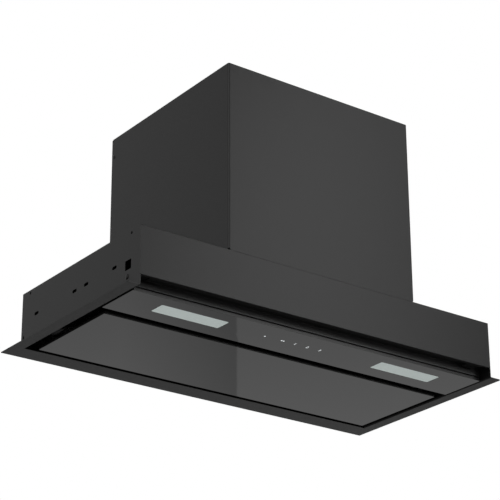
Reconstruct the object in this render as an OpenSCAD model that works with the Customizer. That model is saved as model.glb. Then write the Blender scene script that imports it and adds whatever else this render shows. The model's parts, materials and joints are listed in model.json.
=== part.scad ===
// Built-in range hood for a 600 mm wall cabinet, all lengths in millimetres.
// Origin: middle of the overall width and depth, on the lowest face (the glass suction panel).
// +Z is up, the fascia faces -Y, and the ducting leaves through the top.
// Inside in_hood() the lengths are counted from the fascia's front face (y) and the
// underside of the mounting flange (z), with x = 0 in the middle.

/* [Overall] */
// Width over the mounting flange, just under the 600 mm cabinet
flange_w = 598; // [500:1:900]
// How far the flange stands out beside the body, which fits between the cabinet sides
side_flange = 17.5; // [12:0.5:30]
// Depth of the body, from the fascia to the rear panel
body_d = 278; // [270:1:300]
// Height of the body above the flange's underside
body_h = 78.5; // [74:0.5:100]
// Height of the motor box's top above the flange's underside
overall_h = 341; // [336:1:380]
// How far the flange stands out behind the body
rear_flange = 20; // [14:1:30]
// How far the flange reaches inwards under the rear panel
rear_land = 11; // [9:0.5:13]
// Steel sheet thickness
sheet = 1; // [0.8:0.1:1.2]
// Inner radius where a sheet is bent
bend_r = 1.5; // [1:0.25:2]
// Rounding of the flange's two front corners
flange_corner_r = 2; // [1:0.5:12]

/* [Fascia and finger grip] */
// Height of the fascia's lower edge above the flange's underside
fascia_lift = 13.5; // [12:0.5:16]
// Depth of the finger grip at the glass strip
grip_depth = 18.5; // [16:0.5:22]
// Thickness of the finger grip's section
grip_t = 1.2; // [1:0.1:1.5]

/* [Glass] */
// Thickness of the tempered black glass
glass_t = 4; // [3:0.5:5]
// Depth of the fixed front strip, from front to rear
strip_d = 69.5; // [66:0.5:72]
// Gap at each end of the front strip
strip_side_gap = 2; // [1:0.5:4]
// Suction gap at both ends and the rear of the hinged panel
panel_gap = 12; // [10:0.5:14]
// Suction gap between the front strip and the hinged panel
panel_front_gap = 10.3; // [9:0.1:12]
// How far the hinged panel hangs below the flange
panel_drop = 2.2; // [1.8:0.1:2.6]
// Rounding of the glass corners
glass_corner_r = 1.5; // [1:0.5:3]

/* [Lights and touch keys] */
// Length of each light's window
light_w = 100; // [80:1:110]
// Depth of each light's window
light_d = 25; // [20:1:26]
// How far a light lies inwards of the middle between the touch keys and the strip's end
light_inset = 3.75; // [0:0.05:8]
// Distance from the strip's front edge to a light's window
light_setback = 20.2; // [19:0.2:22]
// Distance from the strip's front edge to the row of touch keys
key_setback = 32.8; // [31:0.2:35]
// Distance between neighbouring speed keys
key_pitch = 20; // [16:1:22]
// Distance from the power key to the next key
power_key_gap = 28.3; // [24:0.1:32]
// Place of the right-most key
last_key_x = 29.5; // [25:0.5:34]
// Number of speed and light keys beside the power key
row_keys = 4; // [3:1:5]

/* [Motor box] */
// Width of the motor box
box_w = 302; // [294:1:310]
// How far the box's front stands behind the fascia
box_setback = 1.6; // [1:0.1:4]
// How far the box's rear stands before the body's rear
box_rear_setback = 0.2; // [0.1:0.1:2]
// Width of the foot flanges that stand on the roof
foot_w = 13.5; // [11:0.5:16]

/* [Outlet] */
// Outside diameter of the outlet spigot, for a 150 mm duct
outlet_d = 149; // [147:0.5:149.5]
// Height of the outlet spigot above the motor box
collar_h = 26; // [22:1:30]

/* [Blower] */
// Outside diameter of the double-inlet impeller
wheel_d = 150; // [144:1:152]
// Width of the impeller
wheel_w = 108; // [100:2:112]
// Outside width of the blower scroll
scroll_w = 132; // [126:2:136]
// Number of blades
blades = 36; // [24:1:42]
// Diameter of the motor's can
motor_d = 80; // [70:1:90]
// Diameter of the motor's shaft
shaft_d = 8; // [7:0.5:9]

/* [Filters] */
// Thickness of a grease filter cassette
filter_t = 9; // [8:0.5:10]
// Gap round a filter in its opening
filter_gap = 2; // [1.5:0.5:3]
// Travel of a filter latch
latch_travel = 7; // [6:0.5:8]

/* [Hidden] */
$fn = 64;

// Fits and overruns
cut = 1;               // overrun of every cut past its wall
fit_gap = 0.2;         // side clearance of a piece set between two walls
seat_gap = 0.3;        // gap between pieces that move past each other
run_gap = 0.05;        // radial running clearance of a pin or shaft

// Body walls
body_w = flange_w - 2 * side_flange;
wall_x = body_w / 2;                    // outer face of a side wall
inner_x = wall_x - sheet;               // inner face of a side wall
flange_x = flange_w / 2;
flange_y = body_d + rear_flange;        // rear edge of the flange
land_y = body_d - rear_land;            // rear edge of the opening
rear_y = body_d - sheet;                // inner face of the rear panel
bend_out = bend_r + sheet;              // outer radius of a bend
fold_w = 12;                            // width of a folded stiffening edge
seam_d = 0.3;                           // depth of the groove in which the walls stand on the flange

// Side wall holes, each counted from the fascia and from the flange's underside
screw_slot_z = 40.7;
outer_slot_front = 57;
outer_slot_pitch = 184;
inner_slot_front = 121.4;
inner_slot_pitch = 27.2;
screw_slot_l = 10;
screw_slot_w = 4.2;
window_y = 20;
window_z = 28;
window_w = 13;
window_h = 12.5;
top_hole_d = 3.6;
top_hole_drop = 4.5;
top_hole_front = 19.8;
top_hole_rear = 19.3;
relief_w = 3.2;
relief_h = 5;
relief_y = 7.5;
relief_z = 13.5;
fold_clear = 2;                         // play at the end of a fold

// Rivets that hold the carrier's side folds
rivet_y = 28.4;
rivet_z = 19.3;
rivet_head_r = 3.6;
rivet_head_h = 1.3;
rivet_r = 1.6;

// Roof
roof_z = body_h - sheet;
roof_fold_h = 9.5;
roof_fold_front = 10;
roof_fold_rear = 15;
roof_rim = 13;                          // roof metal left inside the motor box

// Fascia
return_w = 3;
tab_y = 14;
tab_w = 22.5;
tab_drop = 0.8;                         // how far a tab's end is turned down
tab_inset = 17;                         // from the side wall's outer face to a tab

// Finger grip section
carrier_z = glass_t;                    // underside of the carrier, on the glass
tray_z = carrier_z + sheet;             // upper face of the carrier
grip_foot = 8;
grip_r = 8.8;
grip_flange_h = 8;
lip_r = 0.8;
arc_steps = 8;
grip_top = fascia_lift + grip_r;

// Front strip and its carrier
strip_y0 = grip_depth;
strip_y1 = strip_y0 + strip_d;
strip_x = inner_x - strip_side_gap;
carrier_setback = 2;
carrier_x = inner_x - fit_gap;
tray_h = 33;
side_fold_h = 21;
side_fold_y = 22;
tray_top = tray_z + tray_h;
cover_front = 12.5;
cover_side = 14.5;
cover_y = strip_y0 + cover_front;
cover_x = inner_x - cover_side;

// Lights
lens_gap = 0.2;
lens_r = 2;
lens_flange = 3;
lens_rim_gap = 1;
housing_wall = 1.2;
housing_h = 16;
housing_rim = 6;
board_t = 1.6;
led_w = 3.5;
led_h = 1;
leds = 6;

// Touch keys and control electronics
key_y = strip_y0 + key_setback;
first_row_key_x = last_key_x - (row_keys - 1) * key_pitch;
power_key_x = first_row_key_x - power_key_gap;
key_xs = concat([power_key_x], [for (i = [0:row_keys - 1]) first_row_key_x + i * key_pitch]);
key_pad_r = 4.5;
key_pad_h = 5;
touch_margin_x = 17;
touch_margin_y = 15;
holder_wall = 3.5;
holder_ledge = 3;
holder_rim = 2;
touch_z = glass_t + key_pad_h;
touch_x0 = power_key_x - touch_margin_x;
touch_x1 = last_key_x + touch_margin_x;
light_x0 = (strip_x - touch_x0 - light_w) / 2 - light_inset;
light_x1 = light_x0 + light_w;
light_y0 = strip_y0 + light_setback;
light_y1 = light_y0 + light_d;
control_w = 160;
control_inset = 10;                     // from the motor box's inner face to the control box's end
control_right = box_w / 2 - sheet - control_inset;
control_y0 = 4;
control_d = 44;
control_h = 16.5;
control_wall = 1.5;
boss_h = 3;
boss_r = 3;
relays = 3;
lead_r = 3.5;
lead_end_inset = 14;                    // from the control box's right end to the lead
lead_inset = 16;                        // from the carrier's rear wall to the lead
grommet_r = 6;
grommet_h = 3;
grommet_lip = 1.5;

// Suction panel, its hinge and its catches
panel_x = inner_x - panel_gap;
panel_y0 = strip_y1 + panel_front_gap;
panel_y1 = land_y - panel_gap;
panel_top = glass_t - panel_drop;
pan_inset_x = 18.5;
pan_inset_front = 13.5;
pan_inset_rear = 17;
pan_h = 8;
pan_x = panel_x - pan_inset_x;
pan_y0 = panel_y0 + pan_inset_front;
pan_y1 = panel_y1 - pan_inset_rear;
pan_top = panel_top + pan_h;
pin_r = 2;
ear_r = 4.5;
ear_t = 2;
ear_foot = 12;
hinge_inset = 9;
ear_clear = 0.7;                        // gap between an ear and the glass
hinge_rise = ear_r + ear_clear;
hinge_y = panel_y1 - hinge_inset;
hinge_z = panel_top + hinge_rise;
hanger_x = panel_x - ear_t - fit_gap;   // inner face of a hanger plate
ear_x = hanger_x - seat_gap - ear_t;    // inner face of an ear
hanger_foot = 10;
pin_head_r = 3.5;
pin_head_h = 1.2;
magnet_w = 20;
magnet_inset = 40;                      // from the pan's end to a magnet
magnet_x = pan_x - magnet_inset - magnet_w;
magnet_d = 10;
striker_reach = 12.5;

// Filter support and cassettes
support_gap = 10.2;                     // from the pan's rim to the support
support_z = pan_top + support_gap;
support_top = support_z + sheet;
support_y0 = strip_y1 + sheet;
support_y1 = rear_y - fit_gap;
support_front = 15;
support_rear = 15;
support_side = 18;
centre_bar = 12;
support_fold_h = 9;
opening_x0 = centre_bar / 2;
opening_x1 = inner_x - support_side;
opening_y0 = support_y0 + support_front;
opening_y1 = support_y1 - support_rear;
filter_x0 = opening_x0 + filter_gap;
filter_x1 = opening_x1 - filter_gap;
filter_y0 = opening_y0 + filter_gap;
filter_y1 = opening_y1 - filter_gap;
filter_hang = 2;                        // how far a cassette hangs below the support
filter_z0 = support_z - filter_hang;
filter_z1 = filter_z0 + filter_t;
filter_rim = 9;
filter_wall = 1.2;
hook_w = 24;
hook_t = 1.2;
hook_reach = 8;
hook_inset = 40;
mesh_t = 3;
mesh_columns = 16;
mesh_rows = 8;
mesh_strand_share = 0.3;
latch_w = 36;
latch_t = 2;
latch_reach = 6;
latch_gap = 0.4;
latch_l = 20;
handle_t = 4;
handle_h = 6.8;
handle_inset = 5;
latch_box_l = 38;
latch_box_wall = 1.5;
latch_room_h = 3;

// Motor box
box_x = box_w / 2;
box_y0 = box_setback;
box_y1 = body_d - box_rear_setback;
top_z = overall_h - sheet;
box_in_x = box_x - sheet;
cover_fold = 13;
top_fold_h = 10;
top_fold_front = 10;
top_fold_rear = 22;
foot_inset = 30;
foot_screws = 3;
screw_r = 2;
screw_head_r = 3.6;
screw_head_h = 2.2;
screw_l = 6;
cover_screw_drop = 28;
cover_screw_y = 5.5;
top_screw_inset = 20;
gland_inset = 38;
gland_x = box_in_x - gland_inset;
gland_drop = 33;

// Blower scroll: its radius shrinks from the outlet round to the tongue
wheel_r = wheel_d / 2;
scroll_x = scroll_w / 2;
scroll_wall = 2;
tongue_gap = 5;
tongue_deg = 300;
scroll_steps = 60;
scroll_r0 = wheel_r + tongue_gap;
scroll_growth = 38;
scroll_r1 = scroll_r0 + scroll_growth;
scroll_front_gap = 3.7;
front_r = scroll_r1 - scroll_growth * 180 / tongue_deg;
blower_y = box_y0 + sheet + scroll_front_gap + scroll_wall + front_r;
blower_drop = 143;
blower_z = top_z - blower_drop;
duct_y0 = blower_y + scroll_r0 * cos(360 - tongue_deg);
duct_y1 = blower_y + scroll_r1;
outlet_y = (duct_y0 + duct_y1) / 2;
outlet_flange_w = 12;
outlet_flange_t = 3;
outlet_flange_rim = 7;                  // from a screw to the edge of the scroll's flange
inlet_step = 13;                        // from the impeller's rim inwards to the inlet's edge
inlet_r = wheel_r - inlet_step;
ring_w = 8;
ring_r = inlet_r + ring_w;
ring_t = 4;
ring_lip = 3;

// Impeller, shaft and motor
disc_t = 2;
wheel_ring_t = 2;
wheel_ring_w = 9;
blade_t = 0.8;
blade_chord = 13;
blade_turn_deg = 38;
blade_mid_inset = 6.2;
hub_r = 14;
hub_l = 20;
shaft_r = shaft_d / 2;
shaft_tail = 4;
motor_r = motor_d / 2;
motor_x0 = 10;
bearing_r = 9;
bearing_t = 6;
bearing_pitch = 30;
motor_rib_r = 3;
bracket_t = 2;
bush_h = 5;
bush_r = 6;
arm_w = 16;
arms = 3;
arm_r = ring_r + bush_r + ring_lip;
bracket_x = scroll_x + bush_h;
motor_hub_r = 30;
motor_lead_r = 3;
motor_lead_bend = 9;
motor_lead_drop = 10;
vent_r = 3.5;
vent_ring_share = 0.62;
vents = 8;

// Outlet collar with two damper flaps
outlet_r = outlet_d / 2;
collar_wall = 2;
collar_in_r = outlet_r - collar_wall;
collar_flange_w = 13;
collar_flange_t = 2;
collar_screw_inset = 6.5;
collar_screw_deg = [45, 135, 225, 315];
rod_r = 1.5;
rod_rise = 12;
rod_z = overall_h + rod_rise;
flap_t = 1.2;
flap_gap = 1;
knuckle_r = 3;
flap_root = knuckle_r + 2 * seat_gap;
knuckle_l = 28;
knuckle_gap = 1;
stop_w = 3.5;
stop_h = 2;

// Electrical pieces inside the motor box
cap_r = 14;
cap_l = 60;
cap_y = 60;
cap_z = 32;
clip_t = 1.2;
clip_w = 14;
clip_back_w = 36;
jbox_x = 33;
jbox_y = 60;
jbox_h = 72;
jbox_y0 = 62;
jbox_z0 = 22;
jbox_wall = 2;
jlid_t = 2;
gland_r = 9;
gland_bore_r = 4;
gland_out = 9;
gland_in = 8;
gland_nut_r = 12;
gland_nut_t = 5;

module in_hood() {
    translate([0, -flange_y / 2, panel_drop])
        children();
}

module block(a, b) {
    translate(a)
        cube(b - a);
}

// Extrudes a (y, z) outline along x
module along_x(x0, x1) {
    translate([x0, 0, 0])
        rotate([90, 0, 90])
            linear_extrude(x1 - x0)
                children();
}

// Extrudes an (x, z) outline along y
module along_y(y0, y1) {
    translate([0, y1, 0])
        rotate([90, 0, 0])
            linear_extrude(y1 - y0)
                children();
}

module along_z(z0, z1) {
    translate([0, 0, z0])
        linear_extrude(z1 - z0)
            children();
}

module both_sides() {
    children();
    mirror([1, 0, 0])
        children();
}

module area(a, b) {
    translate(a)
        square(b - a);
}

// Rectangle with round corners, made of squares and circles so that its arcs stay true
module rounded_area(a, b, r) {
    area([a[0] + r, a[1]], [b[0] - r, b[1]]);
    area([a[0], a[1] + r], [b[0], b[1] - r]);
    for (x = [a[0] + r, b[0] - r])
        for (y = [a[1] + r, b[1] - r])
            translate([x, y])
                circle(r);
}

// Slot along the first axis, centred on a point
module slot_area(centre, length, width) {
    area(centre - [(length - width) / 2, width / 2], centre + [(length - width) / 2, width / 2]);
    for (s = [-1, 1])
        translate(centre + [s * (length - width) / 2, 0])
            circle(width / 2);
}

function side_of(a, b) = [a[1] - b[1], b[0] - a[0]] / norm(b - a);
function mitre(path, i) =
    i == 0 ? side_of(path[0], path[1])
    : i == len(path) - 1 ? side_of(path[i - 1], path[i])
    : let (m = side_of(path[i - 1], path[i]), n = side_of(path[i], path[i + 1]))
        (m + n) / (1 + m * n);

// Outline of a strip of even thickness along a path
function strip_outline(path, t) = concat(
    [for (i = [0:len(path) - 1]) path[i] + mitre(path, i) * t / 2],
    [for (i = [len(path) - 1:-1:0]) path[i] - mitre(path, i) * t / 2]);

// Pan-head screw whose head stands on z = 0 and whose shank points to -z
module pan_screw(length) {
    cylinder(r = screw_head_r, h = screw_head_h);
    translate([0, 0, -length])
        cylinder(r = screw_r, h = length + cut / 2);
}

// Body

// One arm of the flange with the bend that leads up into the side wall
module flange_arm() {
    along_z(0, sheet)
        difference() {
            area([inner_x + bend_out, 0], [flange_x, land_y]);
            difference() {
                area([flange_x - flange_corner_r, -cut], [flange_x + cut, flange_corner_r]);
                translate([flange_x - flange_corner_r, flange_corner_r])
                    circle(flange_corner_r);
            }
        }
    along_y(0, land_y)
        translate([inner_x + bend_out, bend_out])
            difference() {
                circle(bend_out);
                circle(bend_r);
                area([0, -bend_out - cut], [bend_out + cut, bend_out + cut]);
                area([-bend_out - cut, 0], [bend_out + cut, bend_out + cut]);
            }
}

module mounting_flange() color("#2b2b2c") in_hood() {
    both_sides()
        flange_arm();
    difference() {
        block([-flange_x, land_y, 0], [flange_x, flange_y, sheet]);
        // groove in which the rear panel and the ends of the side walls are welded
        difference() {
            block([-wall_x, land_y - cut, sheet - seam_d], [wall_x, body_d, sheet + cut]);
            block([-inner_x, land_y - 2 * cut, -cut], [inner_x, rear_y, sheet + 2 * cut]);
        }
    }
}

// Side wall seen from outside, as a (y, z) outline
module side_wall_area() {
    difference() {
        union() {
            area([sheet, bend_out], [body_d, body_h]);
            area([0, bend_out], [sheet + cut, fascia_lift]);
            area([land_y, sheet - seam_d], [body_d, bend_out + cut]);
        }
        for (y = [outer_slot_front, outer_slot_front + outer_slot_pitch])
            slot_area([y, screw_slot_z], screw_slot_l, screw_slot_w);
        for (y = [inner_slot_front, inner_slot_front + inner_slot_pitch])
            slot_area([y, screw_slot_z], screw_slot_l, screw_slot_w);
        area([window_y, window_z], [window_y + window_w, window_z + window_h]);
        for (y = [top_hole_front, body_d - top_hole_rear])
            translate([y, body_h - top_hole_drop])
                circle(top_hole_d / 2);
        translate([rivet_y, rivet_z])
            circle(rivet_r);
        area([body_d - relief_y, relief_z], [body_d - relief_y + relief_w, relief_z + relief_h]);
    }
}

module side_panel() {
    along_x(inner_x, wall_x)
        side_wall_area();
    block([inner_x - fold_w, sheet, grip_top + grip_flange_h + fold_clear],
          [inner_x + sheet / 2, 2 * sheet, roof_z - 2 * sheet]);
}

module left_side_panel() color("#323233") in_hood()
    mirror([1, 0, 0])
        side_panel();

module right_side_panel() color("#323233") in_hood()
    side_panel();

module rear_panel() color("#2e2e2f") in_hood() {
    block([-inner_x, rear_y, sheet - seam_d], [inner_x, body_d, body_h]);
    both_sides()
        block([inner_x - sheet, rear_y - fold_w, sheet + fold_clear],
              [inner_x, rear_y + sheet / 2, roof_z - fold_clear]);
}

module roof_plate() color("#303031") in_hood() {
    along_z(roof_z, body_h)
        difference() {
            area([-inner_x, sheet], [inner_x, rear_y]);
            rounded_area([-box_in_x + roof_rim, box_y0 + roof_rim],
                         [box_in_x - roof_rim, box_y1 - roof_rim], bend_out);
            both_sides()
                for (i = [0:foot_screws - 1])
                    translate([box_x + foot_w / 2, foot_screw_y(i)])
                        circle(screw_r);
        }
    both_sides()
        along_x(inner_x - sheet, inner_x)
            difference() {
                area([roof_fold_front, roof_z - roof_fold_h], [rear_y - roof_fold_rear, body_h - sheet / 2]);
                for (y = [top_hole_front, body_d - top_hole_rear])
                    translate([y, body_h - top_hole_drop])
                        circle(top_hole_d / 2);
            }
}

module front_fascia() color("#3f3f40") in_hood() {
    block([-wall_x, 0, fascia_lift], [wall_x, sheet, body_h]);
    block([-inner_x + fit_gap, sheet / 2, fascia_lift],
          [inner_x - fit_gap, sheet + return_w, fascia_lift + sheet]);
    block([-inner_x + 2 * sheet, sheet / 2, roof_z - sheet],
          [inner_x - 2 * sheet, sheet + fold_w, roof_z]);
    both_sides() {
        block([wall_x - tab_inset - tab_w, sheet / 2, fascia_lift],
              [wall_x - tab_inset, tab_y, fascia_lift + sheet]);
        block([wall_x - tab_inset - tab_w, tab_y - sheet, fascia_lift - tab_drop],
              [wall_x - tab_inset, tab_y, fascia_lift + sheet / 2]);
    }
}

// Path of the grip's section: foot on the carrier, lip, back wall, round top, fascia flange
function grip_path() =
    let (y = grip_depth + grip_t / 2, z = tray_z + grip_t / 2)
    concat(
        [[y + grip_foot, z]],
        [for (i = [0:arc_steps / 2])
            let (a = 270 - i * 180 / arc_steps)
                [y + lip_r + lip_r * cos(a), z + lip_r + lip_r * sin(a)]],
        [for (i = [0:arc_steps])
            let (a = i * 90 / arc_steps)
                [y - grip_r + grip_r * cos(a), fascia_lift + grip_r * sin(a)]],
        [[sheet + grip_t / 2, grip_top], [sheet + grip_t / 2, grip_top + grip_flange_h]]);

module finger_grip() color("#1d1d1e") in_hood()
    along_x(-strip_x, strip_x)
        polygon(strip_outline(grip_path(), grip_t));

// Front strip: glass, carrier and what sits on it

module strip_carrier() color("#262627") in_hood() {
    along_z(carrier_z, tray_z)
        difference() {
            area([-carrier_x, strip_y0 + carrier_setback], [carrier_x, strip_y1]);
            both_sides()
                rounded_area([light_x0 - lens_flange - lens_rim_gap, light_y0 - lens_flange - lens_rim_gap],
                             [light_x1 + lens_flange + lens_rim_gap, light_y1 + lens_flange + lens_rim_gap],
                             lens_r);
            area([power_key_x - key_pad_r - lens_r, key_y - key_pad_r - lens_r],
                 [last_key_x + key_pad_r + lens_r, key_y + key_pad_r + lens_r]);
        }
    block([-carrier_x, strip_y1 - sheet, tray_z - sheet / 2], [carrier_x, strip_y1, tray_top]);
    both_sides()
        along_x(carrier_x - sheet, carrier_x)
            difference() {
                area([side_fold_y, tray_z - sheet / 2], [strip_y1 - sheet / 2, tray_z + side_fold_h]);
                translate([rivet_y, rivet_z])
                    circle(rivet_r);
            }
}

module tray_cover() color("#2a2a2b") in_hood() {
    block([-cover_x, cover_y, tray_z], [cover_x, cover_y + sheet, tray_top + sheet / 2]);
    along_z(tray_top, tray_top + sheet)
        difference() {
            area([-cover_x, cover_y], [cover_x, strip_y1]);
            translate([lead_x, lead_y])
                circle(grommet_r - grommet_lip);
        }
}

module front_glass_strip() color("#4b4d50") in_hood()
    along_z(0, glass_t)
        difference() {
            rounded_area([-strip_x, strip_y0], [strip_x, strip_y1], glass_corner_r);
            both_sides()
                rounded_area([light_x0 - lens_gap, light_y0 - lens_gap],
                             [light_x1 + lens_gap, light_y1 + lens_gap], lens_r + lens_gap);
        }

module light_lens() {
    along_z(0, carrier_z + sheet / 2)
        rounded_area([light_x0, light_y0], [light_x1, light_y1], lens_r);
    along_z(carrier_z, tray_z)
        rounded_area([light_x0 - lens_flange, light_y0 - lens_flange],
                     [light_x1 + lens_flange, light_y1 + lens_flange], lens_r);
}

module left_light_lens() color("#a5b0af") in_hood()
    mirror([1, 0, 0])
        light_lens();

module right_light_lens() color("#a5b0af") in_hood()
    light_lens();

module light_housing() {
    difference() {
        block([light_x0 - housing_rim, light_y0 - housing_rim, tray_z],
              [light_x1 + housing_rim, light_y1 + housing_rim, tray_z + housing_h]);
        block([light_x0 - housing_rim + housing_wall, light_y0 - housing_rim + housing_wall, tray_z - cut],
              [light_x1 + housing_rim - housing_wall, light_y1 + housing_rim - housing_wall,
               tray_z + housing_h - housing_wall]);
    }
}

module left_light_housing() color("#d8d8d6") in_hood()
    mirror([1, 0, 0])
        light_housing();

module right_light_housing() color("#d8d8d6") in_hood()
    light_housing();

module light_board() {
    z = tray_z + housing_h - housing_wall - board_t;
    block([light_x0, light_y0, z], [light_x1, light_y1, z + board_t]);
    for (i = [0:leds - 1])
        translate([light_x0 + (i + 0.5) * light_w / leds, (light_y0 + light_y1) / 2, z - led_h / 2])
            cube([led_w, led_w, led_h + cut / 10], center = true);
}

module left_light_board() color("#e9e4d2") in_hood()
    mirror([1, 0, 0])
        light_board();

module right_light_board() color("#e9e4d2") in_hood()
    light_board();

module touch_board_holder() color("#3a3a3c") in_hood() {
    y0 = key_y - touch_margin_y;
    y1 = key_y + touch_margin_y;
    difference() {
        block([touch_x0 - holder_wall, y0 - holder_wall, tray_z],
              [touch_x1 + holder_wall, y1 + holder_wall, touch_z + board_t + holder_rim]);
        block([touch_x0 + holder_ledge, y0 + holder_ledge, tray_z - cut],
              [touch_x1 - holder_ledge, y1 - holder_ledge, touch_z + cut]);
        block([touch_x0 - fit_gap, y0 - fit_gap, touch_z],
              [touch_x1 + fit_gap, y1 + fit_gap, touch_z + board_t + holder_rim + cut]);
    }
}

module touch_board() color("#1f6b3a") in_hood() {
    block([touch_x0, key_y - touch_margin_y, touch_z],
          [touch_x1, key_y + touch_margin_y, touch_z + board_t]);
    block([touch_x0 + holder_ledge, key_y, touch_z + board_t / 2],
          [touch_x0 + touch_margin_x, key_y + touch_margin_y - holder_ledge, touch_z + board_t + holder_rim]);
}

module touch_pads() color("#0c0c0c") in_hood()
    for (x = key_xs)
        translate([x, key_y, glass_t])
            cylinder(r = key_pad_r, h = key_pad_h);

// Open-topped plastic box that hangs from the tray cover
module control_box() color("#d9d6cc") in_hood() {
    x0 = control_right - control_w;
    y0 = cover_y + sheet + control_y0;
    z0 = tray_top - control_h;
    difference() {
        block([x0, y0, z0], [x0 + control_w, y0 + control_d, tray_top]);
        block([x0 + control_wall, y0 + control_wall, z0 + control_wall],
              [x0 + control_w - control_wall, y0 + control_d - control_wall, tray_top + cut]);
    }
    for (x = [x0 + 2 * boss_r, x0 + control_w - 2 * boss_r])
        for (y = [y0 + 2 * boss_r, y0 + control_d - 2 * boss_r])
            translate([x, y, z0 + control_wall / 2])
                cylinder(r = boss_r, h = control_wall / 2 + boss_h);
}

module power_board() color("#2c7a44") in_hood() {
    x0 = control_right - control_w + control_wall + fit_gap;
    x1 = control_right - control_wall - fit_gap;
    y0 = cover_y + sheet + control_y0 + control_wall + fit_gap;
    y1 = y0 + control_d - 2 * control_wall - 2 * fit_gap;
    z0 = tray_top - control_h + control_wall + boss_h;
    part_h = tray_top - z0 - board_t - housing_wall;
    block([x0, y0, z0], [x1, y1, z0 + board_t]);
    // transformer, relays and the terminal row
    block([x0 + 2 * boss_r, y0 + 2 * boss_r, z0 + board_t / 2],
          [x0 + 9 * boss_r, y1 - 2 * boss_r, z0 + board_t + part_h]);
    for (i = [0:relays - 1])
        translate([x0 + (11 + 5 * i) * boss_r, y0 + 2 * boss_r, z0 + board_t / 2])
            cube([4 * boss_r, 5 * boss_r, part_h]);
    block([x0 + 11 * boss_r, y1 - 4 * boss_r, z0 + board_t / 2],
          [x1 - 10 * boss_r, y1 - boss_r, z0 + board_t + part_h / 2]);
}

lead_x = control_right - lead_end_inset;
lead_y = strip_y1 - lead_inset;

// Lead from the control board up to the junction box
module control_lead() color("#141414") in_hood()
    translate([lead_x, lead_y, tray_top - control_h + control_wall + boss_h + board_t])
        cylinder(r = lead_r, h = body_h + jbox_z0 - tray_top + control_h - control_wall - boss_h - board_t);

module lead_grommet() color("#0f0f0f") in_hood()
    translate([lead_x, lead_y, tray_top - grommet_lip])
        difference() {
            union() {
                cylinder(r = grommet_r, h = grommet_lip);
                cylinder(r = grommet_r - grommet_lip, h = grommet_lip + sheet + grommet_h / 2);
                translate([0, 0, grommet_lip + sheet])
                    cylinder(r = grommet_r, h = grommet_h);
            }
            translate([0, 0, -cut])
                cylinder(r = lead_r, h = grommet_lip + sheet + grommet_h + 2 * cut);
        }

module side_rivets() color("#39393a") in_hood()
    both_sides()
        translate([wall_x, rivet_y, rivet_z])
            rotate([0, 90, 0]) {
                intersection() {
                    translate([0, 0, rivet_head_h - dome_r()])
                        sphere(dome_r());
                    cylinder(r = rivet_head_r, h = rivet_head_h + cut);
                }
                translate([0, 0, -wall_x + carrier_x - sheet])
                    cylinder(r = rivet_r, h = wall_x - carrier_x + sheet + rivet_head_h / 2);
            }

// Radius of the sphere that gives a rivet head its height and width
function dome_r() = (rivet_head_r * rivet_head_r + rivet_head_h * rivet_head_h) / (2 * rivet_head_h);

// Hinged suction panel

module suction_glass() color("#4b4d50") in_hood()
    along_z(-panel_drop, panel_top)
        rounded_area([-panel_x, panel_y0], [panel_x, panel_y1], glass_corner_r);

module suction_panel_frame() color("#4a4a4c") in_hood() {
    difference() {
        block([-pan_x, pan_y0, panel_top], [pan_x, pan_y1, pan_top]);
        block([-pan_x + sheet, pan_y0 + sheet, panel_top + sheet],
              [pan_x - sheet, pan_y1 - sheet, pan_top + cut]);
    }
    both_sides() {
        // foot and ear of the hinge
        block([pan_x - sheet, hinge_y - ear_r - ear_foot, panel_top],
              [ear_x + ear_t, hinge_y - ear_r, panel_top + sheet]);
        along_x(ear_x, ear_x + ear_t)
            difference() {
                union() {
                    area([hinge_y - ear_r - ear_foot, panel_top], [hinge_y - ear_r, hinge_z + ear_r]);
                    area([hinge_y - ear_r - sheet, hinge_z - ear_r + sheet], [hinge_y, hinge_z + ear_r]);
                    translate([hinge_y, hinge_z])
                        circle(ear_r);
                }
                translate([hinge_y, hinge_z])
                    circle(pin_r + run_gap);
            }
        // striker plate under the magnet
        block([magnet_x, pan_y0 - striker_reach, pan_top - sheet],
              [magnet_x + magnet_w, pan_y0 + sheet / 2, pan_top]);
    }
}

module panel_hinge_brackets() color("#29292a") in_hood()
    both_sides() {
        along_x(hanger_x, hanger_x + ear_t)
            difference() {
                union() {
                    area([hinge_y - ear_r, hinge_z], [hinge_y + ear_r, support_z]);
                    translate([hinge_y, hinge_z])
                        circle(ear_r);
                }
                translate([hinge_y, hinge_z])
                    circle(pin_r);
            }
        block([hanger_x + ear_t / 2, hinge_y - ear_r, support_z - ear_t],
              [hanger_x + ear_t + hanger_foot, hinge_y + ear_r, support_z]);
    }

module panel_hinge_pins() color("#2f2f30") in_hood()
    both_sides()
        translate([0, hinge_y, hinge_z])
            rotate([0, 90, 0]) {
                translate([0, 0, ear_x - seat_gap])
                    cylinder(r = pin_r, h = 2 * ear_t + 3 * seat_gap);
                translate([0, 0, ear_x - seat_gap - pin_head_h])
                    cylinder(r = pin_head_r, h = pin_head_h);
            }

module panel_magnets() color("#9a9a9c") in_hood()
    both_sides()
        block([magnet_x, opening_y0 - sheet / 2 - magnet_d, pan_top + seat_gap],
              [magnet_x + magnet_w, opening_y0 - sheet / 2, support_z]);

// Filters

module filter_support() color("#3c3c3e") in_hood() {
    along_z(support_z, support_top)
        difference() {
            area([-carrier_x, support_y0], [carrier_x, support_y1]);
            both_sides() {
                area([opening_x0, opening_y0], [opening_x1, opening_y1]);
                area([carrier_x - sheet, rear_y - fold_w - fold_clear], [inner_x + cut, rear_y]);
            }
        }
    both_sides()
        block([carrier_x - sheet, support_y0, support_top - sheet / 2],
              [carrier_x, rear_y - fold_w - fold_clear, support_top + support_fold_h]);
    block([-carrier_x, support_y0, support_top - sheet / 2],
          [carrier_x, support_y0 + sheet, support_top + support_fold_h]);
}

latch_mid_x = (filter_x0 + filter_x1) / 2;
latch_z0 = support_top + latch_gap;
latch_tip_y = opening_y0 - latch_reach;

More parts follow.
